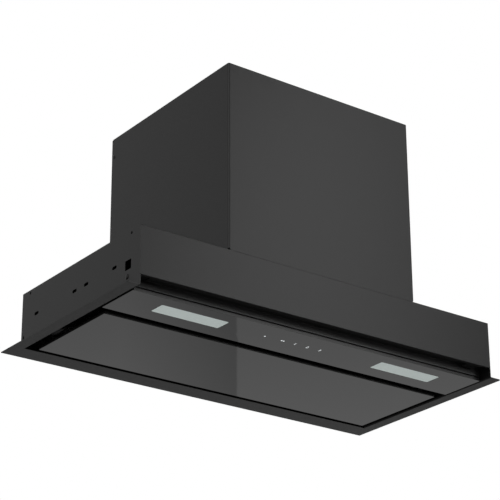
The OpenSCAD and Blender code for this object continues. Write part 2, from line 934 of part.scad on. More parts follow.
// Channel frame of one cassette, with its hooks and the latch's box
module filter_frame() {
    difference() {
        union() {
            block([filter_x0, filter_y0, filter_z0], [filter_x1, filter_y1, filter_z1]);
            for (x = [filter_x0 + hook_inset, filter_x1 - hook_inset - hook_w])
                block([x, filter_y1 - sheet, support_top + seat_gap],
                      [x + hook_w, filter_y1 + hook_reach, support_top + seat_gap + hook_t]);
        }
        // window between the rims
        block([filter_x0 + filter_rim, filter_y0 + filter_rim, filter_z0 - cut],
              [filter_x1 - filter_rim, filter_y1 - filter_rim, filter_z1 + cut]);
        // groove that holds the mesh
        block([filter_x0 + filter_wall, filter_y0 + filter_wall, mesh_z() - fit_gap],
              [filter_x1 - filter_wall, filter_y1 - filter_wall, mesh_z() + mesh_t + fit_gap]);
        latch_room();
    }
    difference() {
        block([latch_mid_x - latch_w / 2 - latch_box_wall, filter_y0 + filter_wall / 2, filter_z0],
              [latch_mid_x + latch_w / 2 + latch_box_wall, filter_y0 + latch_box_l, filter_z1]);
        latch_room();
    }
}

function mesh_z() = (filter_z0 + filter_z1 - mesh_t) / 2;

// Space in which the latch slides, with the slot for its handle
module latch_room() {
    block([latch_mid_x - latch_w / 2 - latch_gap, filter_y0 - cut, latch_z0 - latch_gap],
          [latch_mid_x + latch_w / 2 + latch_gap, filter_y0 + latch_box_l - latch_box_wall,
           latch_z0 + latch_room_h]);
    block([latch_mid_x - latch_w / 3 - latch_gap, filter_y0 + handle_inset - latch_gap, filter_z0 - cut],
          [latch_mid_x + latch_w / 3 + latch_gap,
           filter_y0 + handle_inset + handle_t + latch_travel + 2 * latch_gap, latch_z0]);
}

module filter_mesh() {
    x0 = filter_x0 + filter_wall + fit_gap;
    x1 = filter_x1 - filter_wall - fit_gap;
    y0 = filter_y0 + filter_wall + fit_gap;
    y1 = filter_y1 - filter_wall - fit_gap;
    window = [x1 - x0 - 2 * filter_rim, y1 - y0 - 2 * filter_rim];
    cell = [window[0] / mesh_columns, window[1] / mesh_rows];
    along_z(mesh_z(), mesh_z() + mesh_t)
        difference() {
            area([x0, y0], [x1, y1]);
            for (i = [0:mesh_columns - 1])
                for (j = [0:mesh_rows - 1])
                    translate([x0 + filter_rim + (i + mesh_strand_share / 2) * cell[0],
                               y0 + filter_rim + (j + mesh_strand_share / 2) * cell[1]])
                        square(cell * (1 - mesh_strand_share));
            area([latch_mid_x - latch_w / 2 - latch_box_wall - fit_gap, y0 - cut],
                 [latch_mid_x + latch_w / 2 + latch_box_wall + fit_gap, filter_y0 + latch_box_l + fit_gap]);
        }
}

module filter_latch() {
    block([latch_mid_x - latch_w / 2, latch_tip_y, latch_z0],
          [latch_mid_x + latch_w / 2, latch_tip_y + latch_reach + filter_gap + latch_l, latch_z0 + latch_t]);
    block([latch_mid_x - latch_w / 3, filter_y0 + handle_inset, latch_z0 - handle_h],
          [latch_mid_x + latch_w / 3, filter_y0 + handle_inset + handle_t, latch_z0 + latch_t / 2]);
}

module left_filter_frame() color("#2b2b2c") in_hood()
    mirror([1, 0, 0])
        filter_frame();

module right_filter_frame() color("#2b2b2c") in_hood()
    filter_frame();

module left_filter_mesh() color("#232324") in_hood()
    mirror([1, 0, 0])
        filter_mesh();

module right_filter_mesh() color("#232324") in_hood()
    filter_mesh();

module left_filter_latch() color("#1b1b1c") in_hood()
    mirror([1, 0, 0])
        filter_latch();

module right_filter_latch() color("#1b1b1c") in_hood()
    filter_latch();

// Motor box

function foot_screw_y(i) = box_y0 + foot_inset + i * (box_y1 - box_y0 - 2 * foot_inset) / (foot_screws - 1);

// Places that follow the two side screws of the motor box
module at_cover_screws() {
    both_sides()
        translate([box_x, box_y1 - cover_screw_y, overall_h - cover_screw_drop])
            rotate([0, 90, 0])
                children();
}

// One foot of the motor box with the bend that leads up into its side wall
module motor_box_foot() {
    along_y(box_y0 + bend_out, box_y1)
        translate([box_in_x + bend_out, body_h + bend_out])
            difference() {
                circle(bend_out);
                circle(bend_r);
                area([0, -bend_out - cut], [bend_out + cut, bend_out + cut]);
                area([-bend_out - cut, 0], [bend_out + cut, bend_out + cut]);
            }
    along_z(body_h, body_h + sheet)
        difference() {
            area([box_in_x + bend_out, box_y0 + bend_out], [box_x + foot_w, box_y1]);
            for (i = [0:foot_screws - 1])
                translate([box_x + foot_w / 2, foot_screw_y(i)])
                    circle(screw_r);
        }
}

module motor_box_shell() color("#434344") in_hood()
    difference() {
        union() {
            along_z(body_h + bend_out, top_z)
                difference() {
                    rounded_area([-box_x, box_y0], [box_x, box_y1 + bend_out], bend_out);
                    rounded_area([-box_in_x, box_y0 + sheet], [box_in_x, box_y1 + cut + bend_out], bend_r);
                    area([-box_x - cut, box_y1], [box_x + cut, box_y1 + bend_out + cut]);
                }
            // the front wall goes down to the roof between the two feet
            block([-box_in_x + bend_r, box_y0, body_h],
                  [box_in_x - bend_r, box_y0 + sheet, body_h + bend_out + cut]);
            both_sides()
                motor_box_foot();
        }
        at_cover_screws()
            translate([0, 0, -sheet - cut])
                cylinder(r = screw_r, h = sheet + 2 * cut);
    }

module motor_box_rear_cover() color("#3b3b3c") in_hood() {
    along_y(box_y1 - sheet, box_y1)
        difference() {
            area([-box_in_x + fit_gap, body_h], [box_in_x - fit_gap, top_z]);
            translate([gland_x, top_z - gland_drop])
                circle(gland_r);
        }
    both_sides()
        along_x(box_in_x - fit_gap - sheet, box_in_x - fit_gap)
            difference() {
                area([box_y1 - cover_fold, body_h + fold_clear], [box_y1 - sheet / 2, top_z - fold_clear]);
                translate([box_y1 - cover_screw_y, overall_h - cover_screw_drop])
                    circle(screw_r);
            }
}

module motor_box_top() color("#3b3b3c") in_hood() {
    along_z(top_z, overall_h)
        difference() {
            rounded_area([-box_x, box_y0], [box_x, box_y1], bend_out);
            translate([0, outlet_y])
                circle(collar_in_r);
            for (p = collar_screw_places())
                translate(p)
                    circle(screw_r);
            for (x = [-1, 1])
                for (y = [box_y0 + top_screw_inset, box_y1 - top_screw_inset])
                    translate([x * (box_x - top_screw_inset), y])
                        circle(screw_r);
        }
    both_sides()
        block([box_in_x - fit_gap - sheet, box_y0 + top_fold_front, top_z - top_fold_h],
              [box_in_x - fit_gap, box_y1 - top_fold_rear, top_z + sheet / 2]);
    block([-box_in_x + fold_w, box_y0 + sheet + fit_gap, top_z - top_fold_h],
          [box_in_x - fold_w, box_y0 + 2 * sheet + fit_gap, top_z + sheet / 2]);
}

// Centres of the four screws that hold the collar and the scroll's flange
function collar_screw_places() =
    [for (a = collar_screw_deg) [0, outlet_y] + (outlet_r + collar_screw_inset) * [cos(a), sin(a)]];
collar_screw_ys = [for (p = collar_screw_places()) p[1]];

module box_screws() color("#202021") in_hood() {
    both_sides() {
        for (i = [0:foot_screws - 1])
            translate([box_x + foot_w / 2, foot_screw_y(i), body_h + sheet])
                pan_screw(2 * sheet + fold_clear);
        for (y = [box_y0 + top_screw_inset, box_y1 - top_screw_inset])
            translate([box_x - top_screw_inset, y, overall_h])
                pan_screw(screw_l);
    }
    at_cover_screws() {
        cylinder(r = screw_r + sheet / 2, h = sheet / 2);
        translate([0, 0, -3 * sheet])
            cylinder(r = screw_r, h = 3 * sheet + sheet / 4);
    }
}

// Outlet

module outlet_collar() color("#242425") in_hood()
    translate([0, outlet_y, 0])
        difference() {
            union() {
                along_z(overall_h, overall_h + collar_h)
                    difference() {
                        circle(outlet_r, $fn = 96);
                        circle(collar_in_r, $fn = 96);
                    }
                along_z(overall_h, overall_h + collar_flange_t)
                    difference() {
                        circle(outlet_r + collar_flange_w, $fn = 96);
                        circle(collar_in_r, $fn = 96);
                        for (p = collar_screw_places())
                            translate(p - [0, outlet_y])
                                circle(screw_r);
                    }
                // stop ring under the flaps
                along_z(rod_z - flap_t / 2 - seat_gap - stop_h, rod_z - flap_t / 2 - seat_gap)
                    difference() {
                        circle(collar_in_r + collar_wall / 2, $fn = 96);
                        circle(collar_in_r - stop_w, $fn = 96);
                        area([-knuckle_r - 2 * seat_gap, -outlet_r], [knuckle_r + 2 * seat_gap, outlet_r]);
                    }
            }
            translate([0, outlet_r + cut, rod_z])
                rotate([90, 0, 0])
                    cylinder(r = rod_r, h = outlet_d + 2 * cut);
        }

module damper_rod() color("silver") in_hood()
    translate([0, outlet_y + outlet_r - collar_wall / 2, rod_z])
        rotate([90, 0, 0])
            cylinder(r = rod_r, h = outlet_d - collar_wall);

// Starts of one flap's knuckles along the rod; the other flap's lie between them
flap_r = collar_in_r - flap_gap;
knuckle_starts = [-2 * knuckle_l - 1.5 * knuckle_gap, -knuckle_gap / 2 + knuckle_gap];

// Right-hand flap, lying flat over the right half of the collar
module flap(first) {
    difference() {
        union() {
            along_z(rod_z - flap_t / 2, rod_z + flap_t / 2)
                difference() {
                    circle(flap_r, $fn = 96);
                    area([-flap_r - cut, -flap_r - cut], [flap_root, flap_r + cut]);
                }
            for (s = first) {
                translate([0, s + knuckle_l, rod_z])
                    rotate([90, 0, 0])
                        cylinder(r = knuckle_r, h = knuckle_l);
                block([0, s, rod_z - flap_t / 2], [flap_root + cut, s + knuckle_l, rod_z + flap_t / 2]);
            }
        }
        translate([0, flap_r, rod_z])
            rotate([90, 0, 0])
                cylinder(r = rod_r + run_gap, h = 2 * flap_r);
    }
}

module right_flap() color("#2d2d2e") in_hood()
    translate([0, outlet_y, 0])
        flap(knuckle_starts);

module left_flap() color("#2d2d2e") in_hood()
    translate([0, outlet_y, 0])
        mirror([1, 0, 0])
            flap([for (s = knuckle_starts) s + knuckle_l + knuckle_gap]);

// Blower

// Outline of the scroll round the shaft as (y, z) points, grown by a wall, with its duct on top
function scroll_outline(grow, rise) =
    let (near = duct_y0 - blower_y - grow, far = duct_y1 - blower_y + grow, top = top_z - blower_z + rise,
         turn = 360 - acos(near / (scroll_r0 + grow)))
    concat(
        [for (i = [0:scroll_steps])
            let (a = -i * turn / scroll_steps, r = scroll_r1 - scroll_growth * i / scroll_steps + grow)
                r * [cos(a), sin(a)]],
        [[near, top], [far, top]]);

module scroll_half(bracket_screws) {
    translate([0, blower_y, blower_z])
        difference() {
            along_x(0, scroll_x)
                polygon(scroll_outline(scroll_wall, 0));
            along_x(-cut, scroll_x - scroll_wall)
                polygon(scroll_outline(0, cut));
            along_x(-cut, scroll_x + cut)
                circle(inlet_r);
            if (bracket_screws)
                for (a = bracket_angles())
                    along_x(-cut, scroll_x + cut)
                        translate(arm_r * [cos(a), sin(a)])
                            circle(screw_r);
        }
    // flange under the motor box's top
    difference() {
        along_z(top_z - outlet_flange_t, top_z)
            difference() {
                area([0, min(collar_screw_ys) - outlet_flange_rim],
                     [scroll_x + outlet_flange_w, max(collar_screw_ys) + outlet_flange_rim]);
                for (p = collar_screw_places())
                    translate(p)
                        circle(screw_r);
            }
        block([-cut, duct_y0, top_z - outlet_flange_t - cut],
              [scroll_x - scroll_wall, duct_y1, top_z + cut]);
    }
}

function bracket_angles() = [for (i = [0:arms - 1]) 90 + i * 360 / arms];

module scroll_right_half() color("#6a6d70") in_hood()
    scroll_half(true);

module scroll_left_half() color("#6a6d70") in_hood()
    mirror([1, 0, 0])
        scroll_half(false);

module inlet_rings() color("#55585b") in_hood()
    both_sides()
        translate([scroll_x, blower_y, blower_z])
            rotate([0, 90, 0])
                rotate_extrude($fn = 96)
                    difference() {
                        area([inlet_r - ring_lip, 0], [ring_r, ring_t]);
                        translate([inlet_r - ring_lip, ring_t])
                            circle(ring_lip);
                    }

module impeller() color("#8f9294") in_hood()
    translate([0, blower_y, blower_z])
        difference() {
            union() {
                along_x(-wheel_w / 2, wheel_w / 2)
                    for (i = [0:blades - 1])
                        rotate(i * 360 / blades)
                            translate([wheel_r - blade_mid_inset, 0])
                                rotate(blade_turn_deg)
                                    square([blade_chord, blade_t], center = true);
                for (x = [-wheel_w / 2, wheel_w / 2 - wheel_ring_t])
                    along_x(x, x + wheel_ring_t)
                        difference() {
                            circle(wheel_r, $fn = 96);
                            circle(wheel_r - wheel_ring_w, $fn = 96);
                        }
                along_x(-disc_t / 2, disc_t / 2)
                    circle(wheel_r, $fn = 96);
                along_x(-hub_l + disc_t, disc_t)
                    circle(hub_r);
            }
            along_x(-hub_l - cut, hub_l)
                circle(shaft_r);
        }

module motor_shaft() color("silver") in_hood()
    translate([0, blower_y, blower_z])
        along_x(-hub_l + disc_t - shaft_tail, motor_x0 + bearing_pitch + bearing_t)
            circle(shaft_r);

module fan_motor() color("#7c7f82") in_hood()
    translate([0, blower_y, blower_z])
        difference() {
            union() {
                along_x(motor_x0, bracket_x)
                    circle(motor_r);
                // cooling ribs round the can
                for (x = [motor_x0 + 2 * motor_rib_r:3 * motor_rib_r:bracket_x - 3 * motor_rib_r])
                    along_x(x, x + motor_rib_r)
                        circle(motor_r + motor_rib_r / 2);
            }
            along_x(motor_x0 - cut, motor_x0 + bearing_pitch + bearing_t + cut)
                circle(shaft_r + sheet);
            for (x = [motor_x0, motor_x0 + bearing_pitch])
                along_x(x == motor_x0 ? x - cut : x, x + bearing_t)
                    circle(bearing_r);
            for (i = [0:vents - 1])
                along_x(motor_x0 - cut, motor_x0 + bearing_t)
                    rotate(i * 360 / vents)
                        translate([motor_r * vent_ring_share, 0])
                            circle(vent_r);
        }

module motor_bearings() color("#c9cbcd") in_hood()
    translate([0, blower_y, blower_z])
        for (x = [motor_x0, motor_x0 + bearing_pitch])
            along_x(x, x + bearing_t)
                difference() {
                    circle(bearing_r);
                    circle(shaft_r + run_gap);
                }

module motor_bracket() color("#8a8d90") in_hood()
    translate([0, blower_y, blower_z])
        along_x(bracket_x, bracket_x + bracket_t)
            difference() {
                union() {
                    circle(motor_hub_r);
                    for (a = bracket_angles())
                        rotate(a) {
                            area([0, -arm_w / 2], [arm_r, arm_w / 2]);
                            translate([arm_r, 0])
                                circle(arm_w / 2);
                        }
                }
                for (a = bracket_angles())
                    translate(arm_r * [cos(a), sin(a)])
                        circle(screw_r);
                translate([0, -motor_lead_drop])
                    circle(motor_lead_r);
            }

// Lead from the top of the junction box to the end of the motor
module motor_lead() color("#171717") in_hood() {
    x = box_in_x - jbox_x / 2;
    z = blower_z - motor_lead_drop;
    translate([x, blower_y, jbox_z1])
        cylinder(r = motor_lead_r, h = z - motor_lead_bend - jbox_z1);
    translate([x - motor_lead_bend, blower_y, z - motor_lead_bend])
        rotate([90, 0, 0])
            rotate_extrude(angle = 90)
                translate([motor_lead_bend, 0])
                    circle(motor_lead_r);
    translate([0, blower_y, z])
        along_x(bracket_x, x - motor_lead_bend)
            circle(motor_lead_r);
}

module motor_bushes() color("#161616") in_hood()
    translate([0, blower_y, blower_z])
        for (a = bracket_angles())
            along_x(scroll_x, bracket_x)
                translate(arm_r * [cos(a), sin(a)])
                    difference() {
                        circle(bush_r);
                        circle(screw_r);
                    }

module blower_screws() color("#c4c6c8") in_hood() {
    for (p = collar_screw_places())
        translate([p[0], p[1], overall_h + collar_flange_t])
            pan_screw(collar_flange_t + sheet + outlet_flange_t + fold_clear);
    translate([0, blower_y, blower_z])
        for (a = bracket_angles())
            translate([bracket_x + bracket_t, arm_r * cos(a), arm_r * sin(a)])
                rotate([0, 90, 0])
                    pan_screw(bracket_t + bush_h + scroll_wall);
}

// Electrical pieces in the motor box

module cap_place() {
    translate([-box_in_x + 2 * clip_t + cap_r, box_y0 + cap_y, body_h + cap_z])
        children();
}

module run_capacitor() color("#e3e3e0") in_hood()
    cap_place() {
        cylinder(r = cap_r, h = cap_l);
        for (s = [-1, 1])
            translate([s * cap_r / 3, 0, cap_l])
                cylinder(r = screw_r, h = screw_l);
    }

module capacitor_clip() color("#b8babc") in_hood()
    cap_place()
        translate([0, 0, (cap_l - clip_w) / 2])
            linear_extrude(clip_w)
                difference() {
                    union() {
                        circle(cap_r + clip_t);
                        area([-cap_r - 2 * clip_t, -clip_back_w / 2], [-cap_r - clip_t / 2, clip_back_w / 2]);
                    }
                    circle(cap_r);
                    area([cap_r / 3, -cap_r / 2], [cap_r + 2 * clip_t, cap_r / 2]);
                }

jbox_y1 = box_y0 + jbox_y0 + jbox_y;
jbox_z1 = body_h + jbox_z0 + jbox_h;

module junction_box() color("#3a3b3d") in_hood()
    difference() {
        block([box_in_x - jbox_x, box_y0 + jbox_y0, body_h + jbox_z0], [box_in_x, jbox_y1, jbox_z1]);
        block([box_in_x - jbox_x - cut, box_y0 + jbox_y0 + jbox_wall, body_h + jbox_z0 + jbox_wall],
              [box_in_x - jbox_wall, jbox_y1 - jbox_wall, jbox_z1 - jbox_wall]);
    }

module junction_box_lid() color("#444547") in_hood() {
    block([box_in_x - jbox_x - jlid_t, box_y0 + jbox_y0, body_h + jbox_z0],
          [box_in_x - jbox_x, jbox_y1, jbox_z1]);
    block([box_in_x - jbox_x - jlid_t / 2, box_y0 + jbox_y0 + jbox_wall + fit_gap,
           body_h + jbox_z0 + jbox_wall + fit_gap],
          [box_in_x - jbox_x + jlid_t, jbox_y1 - jbox_wall - fit_gap, jbox_z1 - jbox_wall - fit_gap]);
}

// Inlet for the mains lead; the lead itself isn't shown and isn't made
module mains_gland() color("#1a1a1b") in_hood()
    translate([gland_x, box_y1, top_z - gland_drop])
        rotate([-90, 0, 0])
            difference() {
                union() {
                    translate([0, 0, -sheet - gland_in])
                        cylinder(r = gland_r, h = sheet + gland_in + cut / 2);
                    cylinder(r = gland_nut_r, h = gland_nut_t, $fn = 6);
                    cylinder(r = gland_r - sheet, h = gland_out);
                    translate([0, 0, -sheet - gland_nut_t])
                        cylinder(r = gland_nut_r, h = gland_nut_t, $fn = 6);
                }
                translate([0, 0, -sheet - gland_in - cut])
                    cylinder(r = gland_bore_r, h = sheet + gland_in + gland_out + 2 * cut);
            }

mounting_flange();
left_side_panel();
right_side_panel();
rear_panel();
roof_plate();
front_fascia();
finger_grip();
strip_carrier();
tray_cover();
front_glass_strip();
left_light_lens();
right_light_lens();
left_light_housing();
right_light_housing();
left_light_board();
right_light_board();
touch_board_holder();
touch_board();
touch_pads();
control_box();
power_board();
control_lead();
lead_grommet();
side_rivets();
suction_glass();
suction_panel_frame();
panel_hinge_brackets();
panel_hinge_pins();
panel_magnets();
filter_support();
left_filter_frame();
right_filter_frame();
left_filter_mesh();
right_filter_mesh();
left_filter_latch();
right_filter_latch();
motor_box_shell();
motor_box_rear_cover();
motor_box_top();
box_screws();
outlet_collar();
damper_rod();
left_flap();
right_flap();
scroll_left_half();
scroll_right_half();
inlet_rings();
impeller();
motor_shaft();
fan_motor();
motor_bearings();
motor_bracket();
motor_bushes();
motor_lead();
blower_screws();
run_capacitor();
capacitor_clip();
junction_box();
junction_box_lid();
mains_gland();
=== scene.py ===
import json
import math

import bmesh
import bpy
from mathutils import Matrix, Vector

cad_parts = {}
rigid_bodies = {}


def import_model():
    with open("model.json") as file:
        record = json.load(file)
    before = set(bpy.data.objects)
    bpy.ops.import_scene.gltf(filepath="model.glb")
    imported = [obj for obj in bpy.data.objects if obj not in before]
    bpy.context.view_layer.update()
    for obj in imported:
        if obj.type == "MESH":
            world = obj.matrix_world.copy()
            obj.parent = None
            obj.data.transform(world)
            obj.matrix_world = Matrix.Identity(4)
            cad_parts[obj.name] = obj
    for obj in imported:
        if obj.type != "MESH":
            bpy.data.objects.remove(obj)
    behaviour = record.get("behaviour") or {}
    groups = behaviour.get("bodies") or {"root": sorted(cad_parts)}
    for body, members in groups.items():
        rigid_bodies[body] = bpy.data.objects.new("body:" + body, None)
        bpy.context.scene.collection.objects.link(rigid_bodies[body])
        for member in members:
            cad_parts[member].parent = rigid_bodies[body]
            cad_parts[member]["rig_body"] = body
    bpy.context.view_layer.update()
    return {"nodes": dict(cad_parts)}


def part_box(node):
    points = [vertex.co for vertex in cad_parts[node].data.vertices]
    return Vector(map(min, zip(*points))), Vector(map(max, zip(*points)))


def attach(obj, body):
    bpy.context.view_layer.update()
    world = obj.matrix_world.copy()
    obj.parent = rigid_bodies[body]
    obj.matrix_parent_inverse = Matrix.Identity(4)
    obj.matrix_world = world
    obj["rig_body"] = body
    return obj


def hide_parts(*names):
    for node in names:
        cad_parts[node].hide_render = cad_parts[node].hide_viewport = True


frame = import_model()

# Camera
# A long lens, low in front of the hood and to its left, looks up at the glass underside.
# Its place and turn were solved from the edges of the hood in the picture.
SENSOR_MM = 36.0
LENS_MM = 136.9
CAMERA_PLACE = (-1.41214, -1.89018, -0.84988)
CAMERA_TURN_DEG = (113.375, 0.288, -36.465)
VIEW_END = 60.0
camera_data = bpy.data.cameras.new("camera")
camera_data.sensor_width = SENSOR_MM
camera_data.lens = LENS_MM
camera_data.clip_end = VIEW_END
camera = bpy.data.objects.new("camera", camera_data)
camera.location = CAMERA_PLACE
camera.rotation_euler = [math.radians(turn) for turn in CAMERA_TURN_DEG]
bpy.context.collection.objects.link(camera)
bpy.context.scene.camera = camera
bpy.context.scene.view_settings.view_transform = "Standard"

# Floor
# A pale studio floor, well below the hood, which hangs as it does in its wall cabinet. It takes
# the soft shadow and fades into the white background far away. Seen from below it is clear, so
# that the underside of the hood can be looked at from any height.
FLOOR_Z = -1.3
FLOOR_HALF = 30.0
FLOOR_FADE = (3.0, 9.0)
FLOOR_GREY = "#D6D6D4"
PURE_WHITE = "#FFFFFF"


def linear(hex_code):
    """Turns an sRGB hex colour into the linear values that shaders take, with a full alpha."""
    values = [int(hex_code[i:i + 2], 16) / 255 for i in (1, 3, 5)]
    return [v / 12.92 if v <= 0.04045 else ((v + 0.055) / 1.055) ** 2.4 for v in values] + [1.0]


def add(tree, kind, inputs=None, **settings):
    """Adds a node. An input is a value, the output socket that feeds it, or a list of such sockets.
    A map range node takes its value in socket 0, its range in 1 and 2, and its result's in 3 and 4."""
    node = tree.nodes.new(kind)
    for name, value in settings.items():
        setattr(node, name, value)
    for name, value in (inputs or {}).items():
        feeds = value if isinstance(value, list) else [value]
        if all(isinstance(feed, bpy.types.NodeSocket) for feed in feeds):
            for feed in feeds:
                tree.links.new(feed, node.inputs[name])
        else:
            node.inputs[name].default_value = value
    return node


def new_material(name):
    """Makes an empty node material and returns it with its tree."""
    material = bpy.data.materials.new(name)
    material.use_nodes = True
    material.node_tree.nodes.clear()
    return material, material.node_tree


def floor_paint():
    """Matt paint: it gives an even pale grey, which the camera sees turn to white far away."""
    material, tree = new_material("pale_studio_floor")
    place = add(tree, "ShaderNodeTexCoord")
    far = add(tree, "ShaderNodeVectorMath", {0: place.outputs["Object"]}, operation="LENGTH")
    fade = add(tree, "ShaderNodeMapRange", {0: far.outputs["Value"], 1: FLOOR_FADE[0], 2: FLOOR_FADE[1]})
    rays = add(tree, "ShaderNodeLightPath")
    seen = add(tree, "ShaderNodeMath", {0: fade.outputs[0], 1: rays.outputs["Is Camera Ray"]},
               operation="MULTIPLY")
    paint = add(tree, "ShaderNodeBsdfDiffuse", {"Color": linear(FLOOR_GREY)})
    white = add(tree, "ShaderNodeEmission", {"Color": linear(PURE_WHITE), "Strength": 1.0})
    mixed = add(tree, "ShaderNodeMixShader", {0: seen.outputs[0], 1: paint.outputs[0], 2: white.outputs[0]})
    side = add(tree, "ShaderNodeNewGeometry")
    clear = add(tree, "ShaderNodeBsdfTransparent")
    open_below = add(tree, "ShaderNodeMixShader",
                     {0: side.outputs["Backfacing"], 1: mixed.outputs[0], 2: clear.outputs[0]})
    add(tree, "ShaderNodeOutputMaterial", {"Surface": open_below.outputs[0]})
    return material


floor_mesh = bpy.data.meshes.new("studio_floor")
floor_corners = [(x * FLOOR_HALF, y * FLOOR_HALF, FLOOR_Z) for x, y in ((-1, -1), (1, -1), (1, 1), (-1, 1))]
floor_mesh.from_pydata(floor_corners, [], [(0, 1, 2, 3)])
floor = bpy.data.objects.new("studio_floor", floor_mesh)
floor.data.materials.append(floor_paint())
floor.visible_glossy = False        # gloss sees the grey room below instead
bpy.context.collection.objects.link(floor)

# Studio
# A white room with soft lamps all round. Gloss sees a grey room instead: a dark floor and
# ceiling, and a low pale panel behind, which a corner divides in two tones.
ROOM_CORNER = math.radians(36.15)
CORNER_SHADE = math.radians(3.7)
PANEL_TURN = (math.radians(-28.0), math.radians(46.0))
PANEL_HEIGHT = (-0.56, -0.2)
PANEL_EDGE = 0.06
# Each share runs from 0 to 1 between two places on a way: the turn from straight behind to the
# right in radians, or how far a view leads across, deep or up.
ROOM_SHARES = {
    "corner_shade": ("turn", ROOM_CORNER - CORNER_SHADE, ROOM_CORNER),
    "far_panel": ("turn", math.radians(28.0), math.radians(16.0)),
    "front": ("deep", 0.3, -0.6),
    "left": ("across", 0.15, -0.3),
    "ceiling": ("height", 0.55, 0.75),
    "near_floor": ("height", -0.72, -0.92),
    "floor": ("height", 0.05, -0.05),
    "panel_left": ("turn", PANEL_TURN[0] - PANEL_EDGE, PANEL_TURN[0]),
    "panel_right": ("turn", PANEL_TURN[1] + PANEL_EDGE, PANEL_TURN[1]),
    "panel_foot": ("height", PANEL_HEIGHT[0] - PANEL_EDGE, PANEL_HEIGHT[0]),
    "panel_head": ("height", PANEL_HEIGHT[1] + PANEL_EDGE, PANEL_HEIGHT[1])}
# A share named first is the product of the two after it.
SHARE_PRODUCTS = (("corner", "before_corner", "corner_shade"),
                  ("front_left", "front", "left"),
                  ("panel_width", "panel_left", "panel_right"),
                  ("panel_height", "panel_foot", "panel_head"),
                  ("panel", "panel_width", "panel_height"))
# A tone named first is blended by a share, from one grey or tone to another.
ROOM_TONES = (("panel_tone", "corner", "#B4B4B4", "#969696"),
              ("panel_tone", "far_panel", "panel_tone", "#666666"),
              ("walls", "front", "#CACACA", "#787878"),
              ("walls", "front_left", "walls", PURE_WHITE),
              ("walls", "ceiling", "walls", "#606060"),
              ("floor_tone", "front", "#4A4A4A", "#262626"),
              ("floor_tone", "near_floor", "floor_tone", "#8C8C8C"),
              ("walls", "floor", "walls", "floor_tone"),
              ("walls", "panel", "walls", "panel_tone"),
              ("soft_light", "gloss", "#D2D2D2", "walls"),
              ("room", "camera", "soft_light", PURE_WHITE))
# Each area lamp: its name, its place, the place it faces, its width and height, and its watts.
LAMPS = (("front_lamp", (1.04, -1.6, 0.58), (0, -0.15, 0.15), 0.6, 1.7, 10.8),
         ("upper_lamp", (-1.2, -1.0, 3.0), (0, 0, 0.2), 2.0, 2.0, 20.0),
         ("rear_lamp", (1.7, 2.6, 1.5), (0, 0.1, 0.2), 1.6, 1.6, 22.0),
         ("left_lamp", (-2.36, -1.8, 1.32), (-0.15, -0.15, 0.2), 2.4, 1.4, 19.0))


def studio_world():
    """Makes the room that the lamps stand in, from its shares and tones."""
    world = bpy.data.worlds.new("studio")
    bpy.context.scene.world = world
    world.use_nodes = True
    tree = world.node_tree
    tree.nodes.clear()
    place = add(tree, "ShaderNodeTexCoord")
    parts = add(tree, "ShaderNodeSeparateXYZ", {0: place.outputs["Generated"]})
    ways = dict(zip(("across", "deep", "height"), parts.outputs))
    ways["turn"] = add(tree, "ShaderNodeMath", {0: ways["across"], 1: ways["deep"]},
                       operation="ARCTAN2").outputs[0]
    rays = add(tree, "ShaderNodeLightPath")
    shares = {"camera": rays.outputs["Is Camera Ray"], "gloss": rays.outputs["Is Glossy Ray"]}
    shares["before_corner"] = add(tree, "ShaderNodeMath", {0: ways["turn"], 1: ROOM_CORNER},
                                  operation="LESS_THAN").outputs[0]
    for name, (way, start, end) in ROOM_SHARES.items():
        shares[name] = add(tree, "ShaderNodeMapRange", {0: ways[way], 1: start, 2: end}).outputs[0]
    for name, one, other in SHARE_PRODUCTS:
        shares[name] = add(tree, "ShaderNodeMath", {0: shares[one], 1: shares[other]},
                           operation="MULTIPLY").outputs[0]
    tones = {}
    for name, share, one, other in ROOM_TONES:
        one, other = (tones[tone] if tone in tones else linear(tone) for tone in (one, other))
        # A mix node's colours are its sockets 6 and 7, and its output 2.
        blend = add(tree, "ShaderNodeMix", {0: shares[share], 6: one, 7: other}, data_type="RGBA")
        tones[name] = blend.outputs[2]
    back = add(tree, "ShaderNodeBackground", {"Color": tones["room"], "Strength": 1.0})
    add(tree, "ShaderNodeOutputWorld", {"Surface": back.outputs[0]})


studio_world()
for name, place, target, width, height, watts in LAMPS:
    lamp_data = bpy.data.lights.new(name, "AREA")
    lamp_data.shape = "RECTANGLE"
    lamp_data.size = width
    lamp_data.size_y = height
    lamp_data.energy = watts
    lamp = bpy.data.objects.new(name, lamp_data)
    lamp.location = place
    lamp.rotation_euler = (Vector(target) - Vector(place)).to_track_quat("-Z", "Y").to_euler()
    bpy.context.collection.objects.link(lamp)

# Mounting flange
# A flat frame of 1 mm steel sheet with bends that lead up into the side walls. Like the rest
# of the body it is powder coated satin black, and the paint rounds its cut edges.
COAT_BLACK = "#101010"
COAT_ROUGH = 0.37
COAT_PEEL = 0.0016
COAT_GRAIN = 0.0009         # drawn coarser than the real 0.2 mm, so that it shows
COAT_MOTTLE = 0.14
COAT_BUMP = 0.25
COAT_BUMP_H = 0.0002
ROUGH_SPREAD = 0.04
NOISE_SPAN = (0.3, 0.7)     # nearly all values of a noise lie in it
SHEET_EDGE = 0.00028
BEND_STEPS = 4
MERGE = 1e-6
FLAT_DEG = 0.5
ROUNDED_DEG = 30.0
CREASE_DEG = 50.0
FACES_UP = 0.9


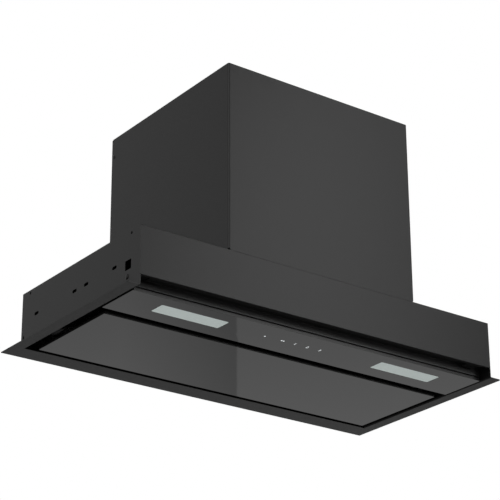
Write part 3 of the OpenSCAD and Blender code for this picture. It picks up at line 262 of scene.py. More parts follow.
def powder_coat(name, hex_code, roughness, gloss=0.3):
    """Satin paint: it gives a soft sheen, a faint orange peel and a grain that breaks up the black."""
    material, tree = new_material(name)
    place = add(tree, "ShaderNodeTexCoord")
    peel = add(tree, "ShaderNodeTexNoise",
               {"Vector": place.outputs["Object"], "Scale": 1 / COAT_PEEL, "Detail": 2.0})
    grain = add(tree, "ShaderNodeTexNoise",
                {"Vector": place.outputs["Object"], "Scale": 1 / COAT_GRAIN, "Detail": 1.0})
    tone = add(tree, "ShaderNodeMapRange",
               {0: grain.outputs[0], 1: NOISE_SPAN[0], 2: NOISE_SPAN[1],
                3: 1 - COAT_MOTTLE, 4: 1 + COAT_MOTTLE})
    colour = add(tree, "ShaderNodeVectorMath", {0: linear(hex_code)[:3], 3: tone.outputs[0]},
                 operation="SCALE")
    rough = add(tree, "ShaderNodeMapRange",
                {0: peel.outputs[0], 1: NOISE_SPAN[0], 2: NOISE_SPAN[1],
                 3: roughness - ROUGH_SPREAD, 4: roughness + ROUGH_SPREAD})
    bump = add(tree, "ShaderNodeBump",
               {"Height": peel.outputs[0], "Strength": COAT_BUMP, "Distance": COAT_BUMP_H})
    shader = add(tree, "ShaderNodeBsdfPrincipled",
                 {"Base Color": colour.outputs[0], "Roughness": rough.outputs[0],
                  "Specular IOR Level": gloss, "Normal": bump.outputs[0]})
    add(tree, "ShaderNodeOutputMaterial", {"Surface": shader.outputs[0]})
    return material


def crisp(mesh):
    """Makes the faces smooth, apart from the creases between them."""
    for face in mesh.polygons:
        face.use_smooth = True
    mesh.set_sharp_from_angle(angle=math.radians(CREASE_DEG))


def settled(piece):
    """Turns a piece with live modifiers into one plain mesh."""
    graph = bpy.context.evaluated_depsgraph_get()
    mesh = bpy.data.meshes.new_from_object(piece.evaluated_get(graph), preserve_all_data_layers=True,
                                           depsgraph=graph)
    piece.modifiers.clear()
    piece.data = mesh
    return piece


def in_place_of(piece, *nodes):
    """Lets a finished piece stand for CAD nodes of one body, and hides the nodes."""
    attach(piece, frame["nodes"][nodes[0]]["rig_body"])
    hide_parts(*nodes)
    return piece


def closed_copy(node):
    """Copies a CAD node's loose triangles as closed solids with plain flat faces."""
    shape = bmesh.new()
    shape.from_mesh(frame["nodes"][node].data)
    bmesh.ops.remove_doubles(shape, verts=shape.verts, dist=MERGE)
    bmesh.ops.dissolve_limit(shape, angle_limit=math.radians(FLAT_DEG), verts=shape.verts,
                             edges=shape.edges)
    return shape


def rounded_piece(node, edge, materials, steps=2, side_material=False, bend=None, bend_edge=0.0, seam=None):
    """Copies a CAD node with its creases rounded by a radius in metres, after the bends that a
    test picks, and leaves the seams that a test picks sharp. The side faces of a flat piece
    may take the second material, and its upper face the third."""
    shape = closed_copy(node)
    if bend:
        bmesh.ops.bevel(shape, geom=[e for e in shape.edges if bend(e)], offset=bend_edge,
                        segments=BEND_STEPS, profile=0.5, affect="EDGES", clamp_overlap=True)
    creases = [e for e in shape.edges if e.is_manifold and e.calc_face_angle(0.0) > math.radians(ROUNDED_DEG)
               and not (seam and seam(e))]
    bmesh.ops.bevel(shape, geom=creases, offset=edge, segments=steps, profile=0.5, affect="EDGES",
                    clamp_overlap=True)
    for face in shape.faces:
        face.material_index = 0
        if side_material and abs(face.normal.z) < FACES_UP:
            face.material_index = 1
        elif side_material and face.normal.z > FACES_UP and len(materials) > 2:
            face.material_index = 2
    mesh = bpy.data.meshes.new(f"{node}_finished")
    shape.to_mesh(mesh)
    shape.free()
    crisp(mesh)
    for material in materials:
        mesh.materials.append(material)
    piece = bpy.data.objects.new(mesh.name, mesh)
    bpy.context.collection.objects.link(piece)
    weights = piece.modifiers.new("flat_faces_stay_flat", "WEIGHTED_NORMAL")
    weights.keep_sharp = True
    return in_place_of(settled(piece), node)


body_coat = powder_coat("satin_black_powder_coat", COAT_BLACK, COAT_ROUGH)
rounded_piece("mounting_flange", SHEET_EDGE, [body_coat])

# Side walls, rear wall and roof
# Folded 1 mm steel sheet in the same coat, welded on the flange. The side walls carry the
# slots for the cabinet screws, a square window and small holes.
for node in ("left_side_panel", "right_side_panel", "rear_panel", "roof_plate"):
    rounded_piece(node, SHEET_EDGE, [body_coat])

# Fascia
# The folded front of 1 mm steel sheet, in the same coat. Its long front edges are press bends,
# with a larger round, and its ends close on the side walls in a fine seam.
FASCIA_BEND = 0.0009
SHEET = 0.001
fascia_low, fascia_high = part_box("front_fascia")


def is_front_bend(edge):
    """True for the long edges of the fascia's front face."""
    return (all(abs(v.co.y - fascia_low.y) < MERGE for v in edge.verts)
            and edge.calc_length() > (fascia_high.x - fascia_low.x) / 2)


def is_front_seam(edge):
    """True for the upright edges at which the fascia closes on the side walls."""
    return all(abs(abs(v.co.x) - fascia_high.x) < MERGE and abs(v.co.y - fascia_low.y - SHEET) < MERGE
               for v in edge.verts)


rounded_piece("front_fascia", SHEET_EDGE, [body_coat], bend=is_front_bend, bend_edge=FASCIA_BEND,
              seam=is_front_seam)

# Finger grip
# A roll-formed channel behind the fascia's lower edge, in which the fingers take hold. Its
# smoother coat catches more of the light that comes in under the fascia.
GRIP_GLOSS = 0.5
grip_coat = powder_coat("smooth_black_grip_coat", COAT_BLACK, COAT_ROUGH, gloss=GRIP_GLOSS)
rounded_piece("finger_grip", SHEET_EDGE, [grip_coat])

# Carrier of the glass strip
# A tray of 1 mm sheet with its cover, in a coarser matt coat that gives a dull, even black, darker than the
# body's: partly the coat's own tone and partly painted shade for the gaps and the recess where the inner
# pieces lie. The glass strip is bonded under it, and the lights and the electronics sit in it.
INNER_BLACK_AND_SHADE = "#0A0A0B"
INNER_ROUGH = 0.62


def finish_node(node, material):
    """Gives a CAD node its material."""
    for slot in frame["nodes"][node].material_slots:
        slot.material = material


# The inner coat's darker black is partly painted shade for the gaps and the recess.
inner_coat_and_shade = powder_coat("matt_black_inner_coat_and_shade", INNER_BLACK_AND_SHADE, INNER_ROUGH)
for node in ("strip_carrier", "tray_cover"):
    finish_node(node, inner_coat_and_shade)

# Rivets
# Blind rivets with a domed head and a dimple where the mandrel broke off. They are steel,
# coated with the body, and hold the carrier in the side walls.
RIVET_SIZES = {"Crown": 0.8, "Recess Length": 0.36, "Recess Width": 0.36, "Recess Depth": 0.12}
RIM_SHARE = 0.98
CROWN_POWER = 3.0
HEAD_SIDES = 32
HEAD_RINGS = 5
SHANK_SIDES = 16
RECESS_TURNS_DEG = (45, 135)


def solids_of(node):
    """The separate solids of a CAD node, each as a list of points, in the order of the mesh."""
    shape = closed_copy(node)
    shape.verts.index_update()
    left = {vert.index: vert for vert in shape.verts}
    solids = []
    while left:
        found, reached = [], [left.pop(min(left))]
        while reached:
            vert = reached.pop()
            found.append(vert.co.copy())
            for near in (e.other_vert(vert) for e in vert.link_edges):
                if near.index in left:
                    reached.append(left.pop(near.index))
        solids.append(found)
    shape.free()
    return solids


def fastener_points(node):
    """One point for each fastener of a CAD node, on the seat of its head. The attributes hold the
    axis towards the head, and the radius and length of the head and of the shank."""
    seats, axes, heads, shanks = [], [], [], []
    for points in solids_of(node):
        low = Vector(min(p[i] for p in points) for i in range(3))
        high = Vector(max(p[i] for p in points) for i in range(3))
        size = high - low
        middle = sorted(size)[1]
        long = max(range(3), key=lambda i: abs(size[i] - middle))
        centre = (low + high) / 2
        head_r = middle / 2
        off_axis = [math.hypot(*[p[i] - centre[i] for i in range(3) if i != long]) for p in points]
        rim = [p[long] for p, r in zip(points, off_axis) if r > RIM_SHARE * head_r]
        up = 1 if high[long] - max(rim) < min(rim) - low[long] else -1
        seat = min(rim) if up > 0 else max(rim)
        top, tip = (high[long], low[long]) if up > 0 else (low[long], high[long])
        shank = [r for p, r in zip(points, off_axis) if (p[long] - seat) * up < -MERGE]
        centre[long] = seat
        seats.append(centre)
        axes.append([up * (i == long) for i in range(3)])
        heads.append([head_r, head_r, abs(top - seat)])
        shanks.append([max(shank), max(shank), abs(seat - tip)])
    mesh = bpy.data.meshes.new(f"{node}_points")
    mesh.from_pydata(seats, [], [])
    for name, rows in (("axis", axes), ("head", heads), ("shank", shanks)):
        values = mesh.attributes.new(name, "FLOAT_VECTOR", "POINT")
        values.data.foreach_set("vector", [v for row in rows for v in row])
    return mesh


def sized_tree(name, sizes):
    """Starts a Geometry Nodes tree whose inputs are points, a material and named sizes."""
    tree = bpy.data.node_groups.new(name, "GeometryNodeTree")
    tree.interface.new_socket("Geometry", in_out="INPUT", socket_type="NodeSocketGeometry")
    tree.interface.new_socket("Material", in_out="INPUT", socket_type="NodeSocketMaterial")
    for size in sizes:
        tree.interface.new_socket(size, in_out="INPUT", socket_type="NodeSocketFloat")
    tree.interface.new_socket("Geometry", in_out="OUTPUT", socket_type="NodeSocketGeometry")
    return tree, add(tree, "NodeGroupInput").outputs


def end_tree(tree, geometry, material):
    """Ends a tree with real geometry in its material."""
    real = add(tree, "GeometryNodeRealizeInstances", {"Geometry": geometry})
    painted = add(tree, "GeometryNodeSetMaterial", {"Geometry": real.outputs[0], "Material": material})
    add(tree, "NodeGroupOutput", {"Geometry": painted.outputs[0]})
    return tree


def fastener_tree():
    """A crowned head with a cross recess on each point, and its shank. The head is drawn with a
    radius and height of 1, and the point's attributes scale it."""
    tree, given = sized_tree("fasteners", RIVET_SIZES)
    place = add(tree, "GeometryNodeInputPosition")
    parts = add(tree, "ShaderNodeSeparateXYZ", {0: place.outputs[0]})
    flat = add(tree, "ShaderNodeCombineXYZ", {"X": parts.outputs[0], "Y": parts.outputs[1]})
    radius = add(tree, "ShaderNodeVectorMath", {0: flat.outputs[0]}, operation="LENGTH")
    steep = add(tree, "ShaderNodeMath", {0: radius.outputs["Value"], 1: CROWN_POWER}, operation="POWER")
    drop = add(tree, "ShaderNodeMath", {0: steep.outputs[0], 1: given["Crown"]}, operation="MULTIPLY")
    left = add(tree, "ShaderNodeMath", {0: 1.0, 1: drop.outputs[0]}, operation="SUBTRACT")
    lifted = add(tree, "ShaderNodeMath", {0: parts.outputs[2], 1: 0.5}, operation="ADD")
    height = add(tree, "ShaderNodeMath", {0: lifted.outputs[0], 1: left.outputs[0]}, operation="MULTIPLY")
    crowned = add(tree, "ShaderNodeCombineXYZ",
                  {"X": parts.outputs[0], "Y": parts.outputs[1], "Z": height.outputs[0]})
    disc = add(tree, "GeometryNodeMeshCylinder",
               {"Vertices": HEAD_SIDES, "Side Segments": 1, "Fill Segments": HEAD_RINGS, "Radius": 1.0,
                "Depth": 1.0})
    head = add(tree, "GeometryNodeSetPosition", {"Geometry": disc.outputs[0], "Position": crowned.outputs[0]})
    depth = add(tree, "ShaderNodeMath", {0: given["Recess Depth"], 1: 2.0}, operation="MULTIPLY")
    bar_size = add(tree, "ShaderNodeCombineXYZ",
                   {"X": given["Recess Length"], "Y": given["Recess Width"], "Z": depth.outputs[0]})
    bar = add(tree, "GeometryNodeMeshCube", {"Size": bar_size.outputs[0]})
    bars = [add(tree, "GeometryNodeTransform",
                {"Geometry": bar.outputs[0], "Translation": (0.0, 0.0, 1.0),
                 "Rotation": (0.0, 0.0, math.radians(turn))})
            for turn in RECESS_TURNS_DEG]
    cut = add(tree, "GeometryNodeMeshBoolean",
              {"Mesh 1": head.outputs[0], "Mesh 2": [b.outputs[0] for b in bars]}, operation="DIFFERENCE",
              solver="EXACT")
    rod = add(tree, "GeometryNodeMeshCylinder", {"Vertices": SHANK_SIDES, "Radius": 1.0, "Depth": 1.0})
    shank = add(tree, "GeometryNodeTransform", {"Geometry": rod.outputs[0], "Translation": (0.0, 0.0, -0.5)})
    axis = add(tree, "GeometryNodeInputNamedAttribute", {"Name": "axis"}, data_type="FLOAT_VECTOR")
    turned = add(tree, "FunctionNodeAlignRotationToVector", {"Vector": axis.outputs[0]}, axis="Z")
    grown_parts = []
    for shape, size in ((cut, "head"), (shank, "shank")):
        scale = add(tree, "GeometryNodeInputNamedAttribute", {"Name": size}, data_type="FLOAT_VECTOR")
        grown_parts.append(add(tree, "GeometryNodeInstanceOnPoints",
                               {"Points": given["Geometry"], "Instance": shape.outputs[0],
                                "Rotation": turned.outputs[0], "Scale": scale.outputs[0]}))
    whole = add(tree, "GeometryNodeJoinGeometry", {"Geometry": [part.outputs[0] for part in grown_parts]})
    return end_tree(tree, whole.outputs[0], given["Material"])


def grown_piece(name, base, tree, sizes, material):
    """Runs a Geometry Nodes tree on a base mesh, and keeps the result as a plain mesh."""
    piece = bpy.data.objects.new(name, base)
    bpy.context.collection.objects.link(piece)
    modifier = piece.modifiers.new("geometry", "NODES")
    modifier.node_group = tree
    for socket in tree.interface.items_tree:
        if socket.in_out == "INPUT" and socket.name in sizes:
            modifier[socket.identifier] = sizes[socket.name]
        elif socket.in_out == "INPUT" and socket.name == "Material":
            modifier[socket.identifier] = material
    settled(piece)
    crisp(piece.data)
    return piece


fasteners = fastener_tree()
rivets = grown_piece("domed_rivets", fastener_points("side_rivets"), fasteners, RIVET_SIZES, body_coat)
in_place_of(rivets, "side_rivets")

# Glass strip
# A fixed strip of 4 mm tempered glass with cut-outs for the lights. Its front is almost a
# mirror, its rear face is printed black, and its edges are ground matt with a small chamfer.
GLASS_EDGE = 0.0005
GLASS_IOR = 1.52
GLASS_ROUGH = 0.022
GLASS_WAVE = 0.06
WAVE_BUMP = 0.05
WAVE_BUMP_H = 0.0002
GRIND_GRAIN = 0.0005        # drawn coarser than the real 0.05 mm, so that it shows


def polished_glass():
    """Black-backed float glass: it gives a clean dark mirror, a little wavy from the oven's rollers."""
    material, tree = new_material("black_tempered_glass")
    place = add(tree, "ShaderNodeTexCoord")
    wave = add(tree, "ShaderNodeTexNoise",
               {"Vector": place.outputs["Object"], "Scale": 1 / GLASS_WAVE, "Detail": 0.0})
    bump = add(tree, "ShaderNodeBump",
               {"Height": wave.outputs[0], "Strength": WAVE_BUMP, "Distance": WAVE_BUMP_H})
    shader = add(tree, "ShaderNodeBsdfPrincipled",
                 {"Base Color": linear("#0B0B0B"), "Roughness": GLASS_ROUGH, "IOR": GLASS_IOR,
                  "Normal": bump.outputs[0]})
    add(tree, "ShaderNodeOutputMaterial", {"Surface": shader.outputs[0]})
    return material


def grained(name, hex_code, grain, roughness, spread=0.1, bump_share=0.2, metallic=0.0, gloss=0.5):
    """A finish with one even grain, of a size in metres: ground glass, moulded plastic, rubber,
    lacquer or cast metal. It gives a soft, slightly mottled sheen."""
    material, tree = new_material(name)
    place = add(tree, "ShaderNodeTexCoord")
    noise = add(tree, "ShaderNodeTexNoise",
                {"Vector": place.outputs["Object"], "Scale": 1 / grain, "Detail": 2.0})
    tone = add(tree, "ShaderNodeMapRange",
               {0: noise.outputs[0], 1: NOISE_SPAN[0], 2: NOISE_SPAN[1], 3: 1 - spread, 4: 1 + spread})
    colour = add(tree, "ShaderNodeVectorMath", {0: linear(hex_code)[:3], 3: tone.outputs[0]},
                 operation="SCALE")
    rough = add(tree, "ShaderNodeMapRange",
                {0: noise.outputs[0], 1: NOISE_SPAN[0], 2: NOISE_SPAN[1],
                 3: roughness - ROUGH_SPREAD, 4: roughness + ROUGH_SPREAD})
    bump = add(tree, "ShaderNodeBump",
               {"Height": noise.outputs[0], "Strength": bump_share, "Distance": grain / 4})
    shader = add(tree, "ShaderNodeBsdfPrincipled",
                 {"Base Color": colour.outputs[0], "Roughness": rough.outputs[0], "Metallic": metallic,
                  "Specular IOR Level": gloss, "Normal": bump.outputs[0]})
    add(tree, "ShaderNodeOutputMaterial", {"Surface": shader.outputs[0]})
    return material


glass_front = polished_glass()
# The ground edge gives a fine grey-black mat, and the baked print behind the glass a flat black.
ground_edge = grained("ground_glass_edge", "#141414", GRIND_GRAIN, roughness=0.34, gloss=0.33)
rear_print = grained("black_enamel_print", "#0E0E0F", GRIND_GRAIN, roughness=0.45, spread=0.05)
GLASS_FACES = [glass_front, ground_edge, rear_print]
rounded_piece("front_glass_strip", GLASS_EDGE, GLASS_FACES, steps=1, side_material=True)

# Touch keys
# Five sensor pads of black foam behind the glass, and the signs printed white before them:
# a dot for power, a lamp, and the speeds 1 to 3. They are lit from behind.
SIGN_GAP = 0.00004
SIGN_T = 0.00004
DOT_R = 0.0011
LAMP_R = 0.0012
LAMP_PITCH = 0.0031
DIGIT_H = 0.0052
DOT_SIDES = 24
PRINT_GRAIN = 0.0004        # the weave of the printing screen, drawn coarser so that it shows
PRINT_TONES = (0.92, 1.0)
PRINT_GLOW = 0.55
FOAM_GRAIN = 0.0006


def printed_white():
    """Lit screen print: it gives crisp white signs on the dark glass."""
    material, tree = new_material("lit_white_print")
    place = add(tree, "ShaderNodeTexCoord")
    noise = add(tree, "ShaderNodeTexNoise", {"Vector": place.outputs["Object"], "Scale": 1 / PRINT_GRAIN})
    tone = add(tree, "ShaderNodeMapRange",
               {0: noise.outputs[0], 1: NOISE_SPAN[0], 2: NOISE_SPAN[1],
                3: PRINT_TONES[0], 4: PRINT_TONES[1]})
    colour = add(tree, "ShaderNodeVectorMath", {0: linear("#F4F7F8")[:3], 3: tone.outputs[0]},
                 operation="SCALE")
    shader = add(tree, "ShaderNodeBsdfPrincipled",
                 {"Base Color": colour.outputs[0], "Roughness": 0.5, "Emission Color": linear("#EAF2F6"),
                  "Emission Strength": PRINT_GLOW})
    add(tree, "ShaderNodeOutputMaterial", {"Surface": shader.outputs[0]})
    return material


def sign_mesh(name, digit=None, dots=()):
    """A digit, or round dots of a radius at places along x, as a thin plate round the origin."""
    if digit:
        curve = bpy.data.curves.new(name, "FONT")
        curve.body = digit
        curve.extrude = SIGN_T / 2
        text = bpy.data.objects.new(name, curve)
        bpy.context.collection.objects.link(text)
        graph = bpy.context.evaluated_depsgraph_get()
        mesh = bpy.data.meshes.new_from_object(text.evaluated_get(graph), depsgraph=graph)
        bpy.data.objects.remove(text)
        low, high = ([f(v.co[i] for v in mesh.vertices) for i in range(3)] for f in (min, max))
        scale = DIGIT_H / (high[1] - low[1])
        middle = Vector(((low[0] + high[0]) / 2, (low[1] + high[1]) / 2, 0))
        mesh.transform(Matrix.Diagonal((scale, scale, 1, 1)) @ Matrix.Translation(-middle))
        return mesh
    shape = bmesh.new()
    for x, radius in dots:
        bmesh.ops.create_cone(shape, cap_ends=True, segments=DOT_SIDES, radius1=radius, radius2=radius,
                              depth=SIGN_T, matrix=Matrix.Translation((x, 0, 0)))
    mesh = bpy.data.meshes.new(name)
    shape.to_mesh(mesh)
    shape.free()
    return mesh


white_print = printed_white()
pad_places = sorted((sum(solid, Vector()) / len(solid) for solid in solids_of("touch_pads")),
                    key=lambda place: place.x)
sign_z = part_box("front_glass_strip")[0].z - SIGN_GAP - SIGN_T / 2
SIGNS = (("power_sign", None, ((0, DOT_R),)),
         ("lamp_sign", None, ((-LAMP_PITCH / 2, LAMP_R), (LAMP_PITCH / 2, LAMP_R))),
         ("speed_1_sign", "I", ()), ("speed_2_sign", "2", ()), ("speed_3_sign", "3", ()))
for (name, digit, dots), pad in zip(SIGNS, pad_places):
    sign = bpy.data.objects.new(name, sign_mesh(name, digit, dots))
    sign.data.transform(Matrix.Translation((pad.x, pad.y, sign_z)) @ Matrix.Rotation(math.pi, 4, "X"))
    sign.data.materials.clear()
    sign.data.materials.append(white_print)
    bpy.context.collection.objects.link(sign)
    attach(sign, "hood_body")

# The open cells of the foam give a dull black without any shine.
finish_node("touch_pads", grained("black_sensor_foam", "#0C0C0C", FOAM_GRAIN, roughness=0.9))

# Lights
# A frosted cover of milky acrylic sits in each cut-out of the glass strip. Above it a white
# case holds a white board with six small LEDs.
LENS_EDGE = 0.0004
FROST_GRAIN = 0.0008        # drawn coarser than the real frost, so that it shows
MOULD_GRAIN = 0.0005        # likewise for the spark-eroded skin of moulded plastic
MASK_GRAIN = 0.0007
# The moulded case gives a clean white, the frost an even milky grey, and the mask a creamy gloss.
white_plastic = grained("white_polycarbonate", "#E4E4E0", MOULD_GRAIN, roughness=0.5, spread=0.02)
lens_acrylic = grained("frosted_acrylic", "#D4DFDE", FROST_GRAIN, roughness=0.45, spread=0.04,
                       bump_share=0.1)
led_board = grained("white_solder_mask", "#E9E6DA", MASK_GRAIN, roughness=0.35, spread=0.03)
for side in ("left", "right"):
    rounded_piece(f"{side}_light_lens", LENS_EDGE, [lens_acrylic])
    finish_node(f"{side}_light_housing", white_plastic)
    finish_node(f"{side}_light_board", led_board)

# Control electronics
# The touch board lies in a dark holder behind the keys. The power board lies in a white box
# on the tray's cover, and its lead goes up through a rubber grommet.
TRACK_PITCH = 0.0025
BOARD_ROUGH = 0.35
RUBBER_GRAIN = 0.0006
SHEATH_GRAIN = 0.0008
# Moulded plastic gives a dark grey satin, rubber a dull black, and the lead's sheath a soft gloss.
dark_plastic = grained("dark_grey_abs", "#333436", MOULD_GRAIN, roughness=0.5)
black_rubber = grained("black_rubber", "#101010", RUBBER_GRAIN, roughness=0.75)
lead_sheath = grained("black_pvc_sheath", "#131313", SHEATH_GRAIN, roughness=0.45)


def circuit_board():
    """Green solder mask: it gives a waxy green with faint straight tracks."""
    material, tree = new_material("green_solder_mask")
    place = add(tree, "ShaderNodeTexCoord")
    tracks = add(tree, "ShaderNodeTexBrick",
                 {"Vector": place.outputs["Object"], "Scale": 1.0, "Brick Width": 8 * TRACK_PITCH,
                  "Row Height": TRACK_PITCH, "Mortar Size": TRACK_PITCH / 8, "Color1": linear("#1F6B3A"),
                  "Color2": linear("#1C6236"), "Mortar": linear("#2E8048")})
    shader = add(tree, "ShaderNodeBsdfPrincipled",
                 {"Base Color": tracks.outputs[0], "Roughness": BOARD_ROUGH})
    add(tree, "ShaderNodeOutputMaterial", {"Surface": shader.outputs[0]})
    return material


green_board = circuit_board()
for node, material in (("touch_board_holder", dark_plastic), ("touch_board", green_board),
                       ("control_box", white_plastic), ("power_board", green_board),
                       ("control_lead", lead_sheath), ("lead_grommet", black_rubber)):
    finish_node(node, material)

# Suction panel
# A 4 mm glass panel like the strip, bonded under a matt black steel pan. The pan has two
# hinge ears and two strikers for the magnets.
rounded_piece("suction_glass", GLASS_EDGE, GLASS_FACES, steps=1, side_material=True)
# The pan takes the inner coat, whose darker black is partly painted shade.
rounded_piece("suction_panel_frame", SHEET_EDGE, [inner_coat_and_shade])

# Hinge and catches
# Brackets of coated sheet with black zinc-coated pins carry the panel, and nickel-plated
# magnets hold it shut.
SPANGLE = 0.005
ZINC_TONES = (0.3, 0.42)
ZINC_ROUGH = (0.32, 0.48)
BRUSH_PITCH = 0.0004        # the rings of drawn bar are finer, and drawn so coarse to show
STEEL_ROUGH = (0.2, 0.34)
SCREW_GRAIN = 0.0006
PLATING_GRAIN = 0.002


def zinc_plated():
    """Hot-dip zinc: it gives a grey shine with flat crystals, each in a slightly other tone."""
    material, tree = new_material("galvanised_steel")
    place = add(tree, "ShaderNodeTexCoord")
    cells = add(tree, "ShaderNodeTexVoronoi", {"Vector": place.outputs["Object"], "Scale": 1 / SPANGLE})
    tone = add(tree, "ShaderNodeSeparateXYZ", {0: cells.outputs["Color"]})
    colour = add(tree, "ShaderNodeMapRange", {0: tone.outputs[0], 3: ZINC_TONES[0], 4: ZINC_TONES[1]})
    rough = add(tree, "ShaderNodeMapRange", {0: tone.outputs[1], 3: ZINC_ROUGH[0], 4: ZINC_ROUGH[1]})
    shader = add(tree, "ShaderNodeBsdfPrincipled",
                 {"Base Color": colour.outputs[0], "Roughness": rough.outputs[0], "Metallic": 0.9})
    add(tree, "ShaderNodeOutputMaterial", {"Surface": shader.outputs[0]})
    return material


def turned_steel():
    """Bright drawn steel: it gives a clear shine with fine rings round the bar."""
    material, tree = new_material("bright_turned_steel")
    place = add(tree, "ShaderNodeTexCoord")
    rings = add(tree, "ShaderNodeTexNoise", {"Vector": place.outputs["Object"], "Scale": 1 / BRUSH_PITCH})
    rough = add(tree, "ShaderNodeMapRange",
                {0: rings.outputs[0], 1: NOISE_SPAN[0], 2: NOISE_SPAN[1],
                 3: STEEL_ROUGH[0], 4: STEEL_ROUGH[1]})
    shader = add(tree, "ShaderNodeBsdfPrincipled",
                 {"Base Color": linear("#C4C5C6"), "Roughness": rough.outputs[0], "Metallic": 1.0})
    add(tree, "ShaderNodeOutputMaterial", {"Surface": shader.outputs[0]})
    return material


zinc = zinc_plated()
bright_steel = turned_steel()
# The black zinc coat gives a dark metal sheen, and nickel plate a warm grey shine.
screw_black = grained("black_zinc_coat", "#1A1A1B", SCREW_GRAIN, roughness=0.38, metallic=0.6)
nickel = grained("nickel_plated_magnet", "#8E8E8C", PLATING_GRAIN, roughness=0.25, metallic=1.0)
# The brackets take the inner coat, whose darker black is partly painted shade.
rounded_piece("panel_hinge_brackets", SHEET_EDGE, [inner_coat_and_shade])
rounded_piece("panel_hinge_pins", SHEET_EDGE, [screw_black])
finish_node("panel_magnets", nickel)

# Grease filters
# Two cassettes hang in a matt black support. Each has a black-lacquered aluminium frame round three layers of
# expanded aluminium mesh, and a sprung latch of black plastic. The near-black of the frame and the mesh is
# partly lacquer and partly painted shade for the dark suction slots.
BOND_PITCH = 0.0095
ROW_PITCH = 0.0046
STRAND_W = 0.0011
STRAND_T = 0.0006
MESH_LAYERS = 3
LAYER_SHIFT = 1 / 3
LATCH_WALL = 0.0022
LATCH_REACH = 0.038
LACQUER_GRAIN = 0.0008


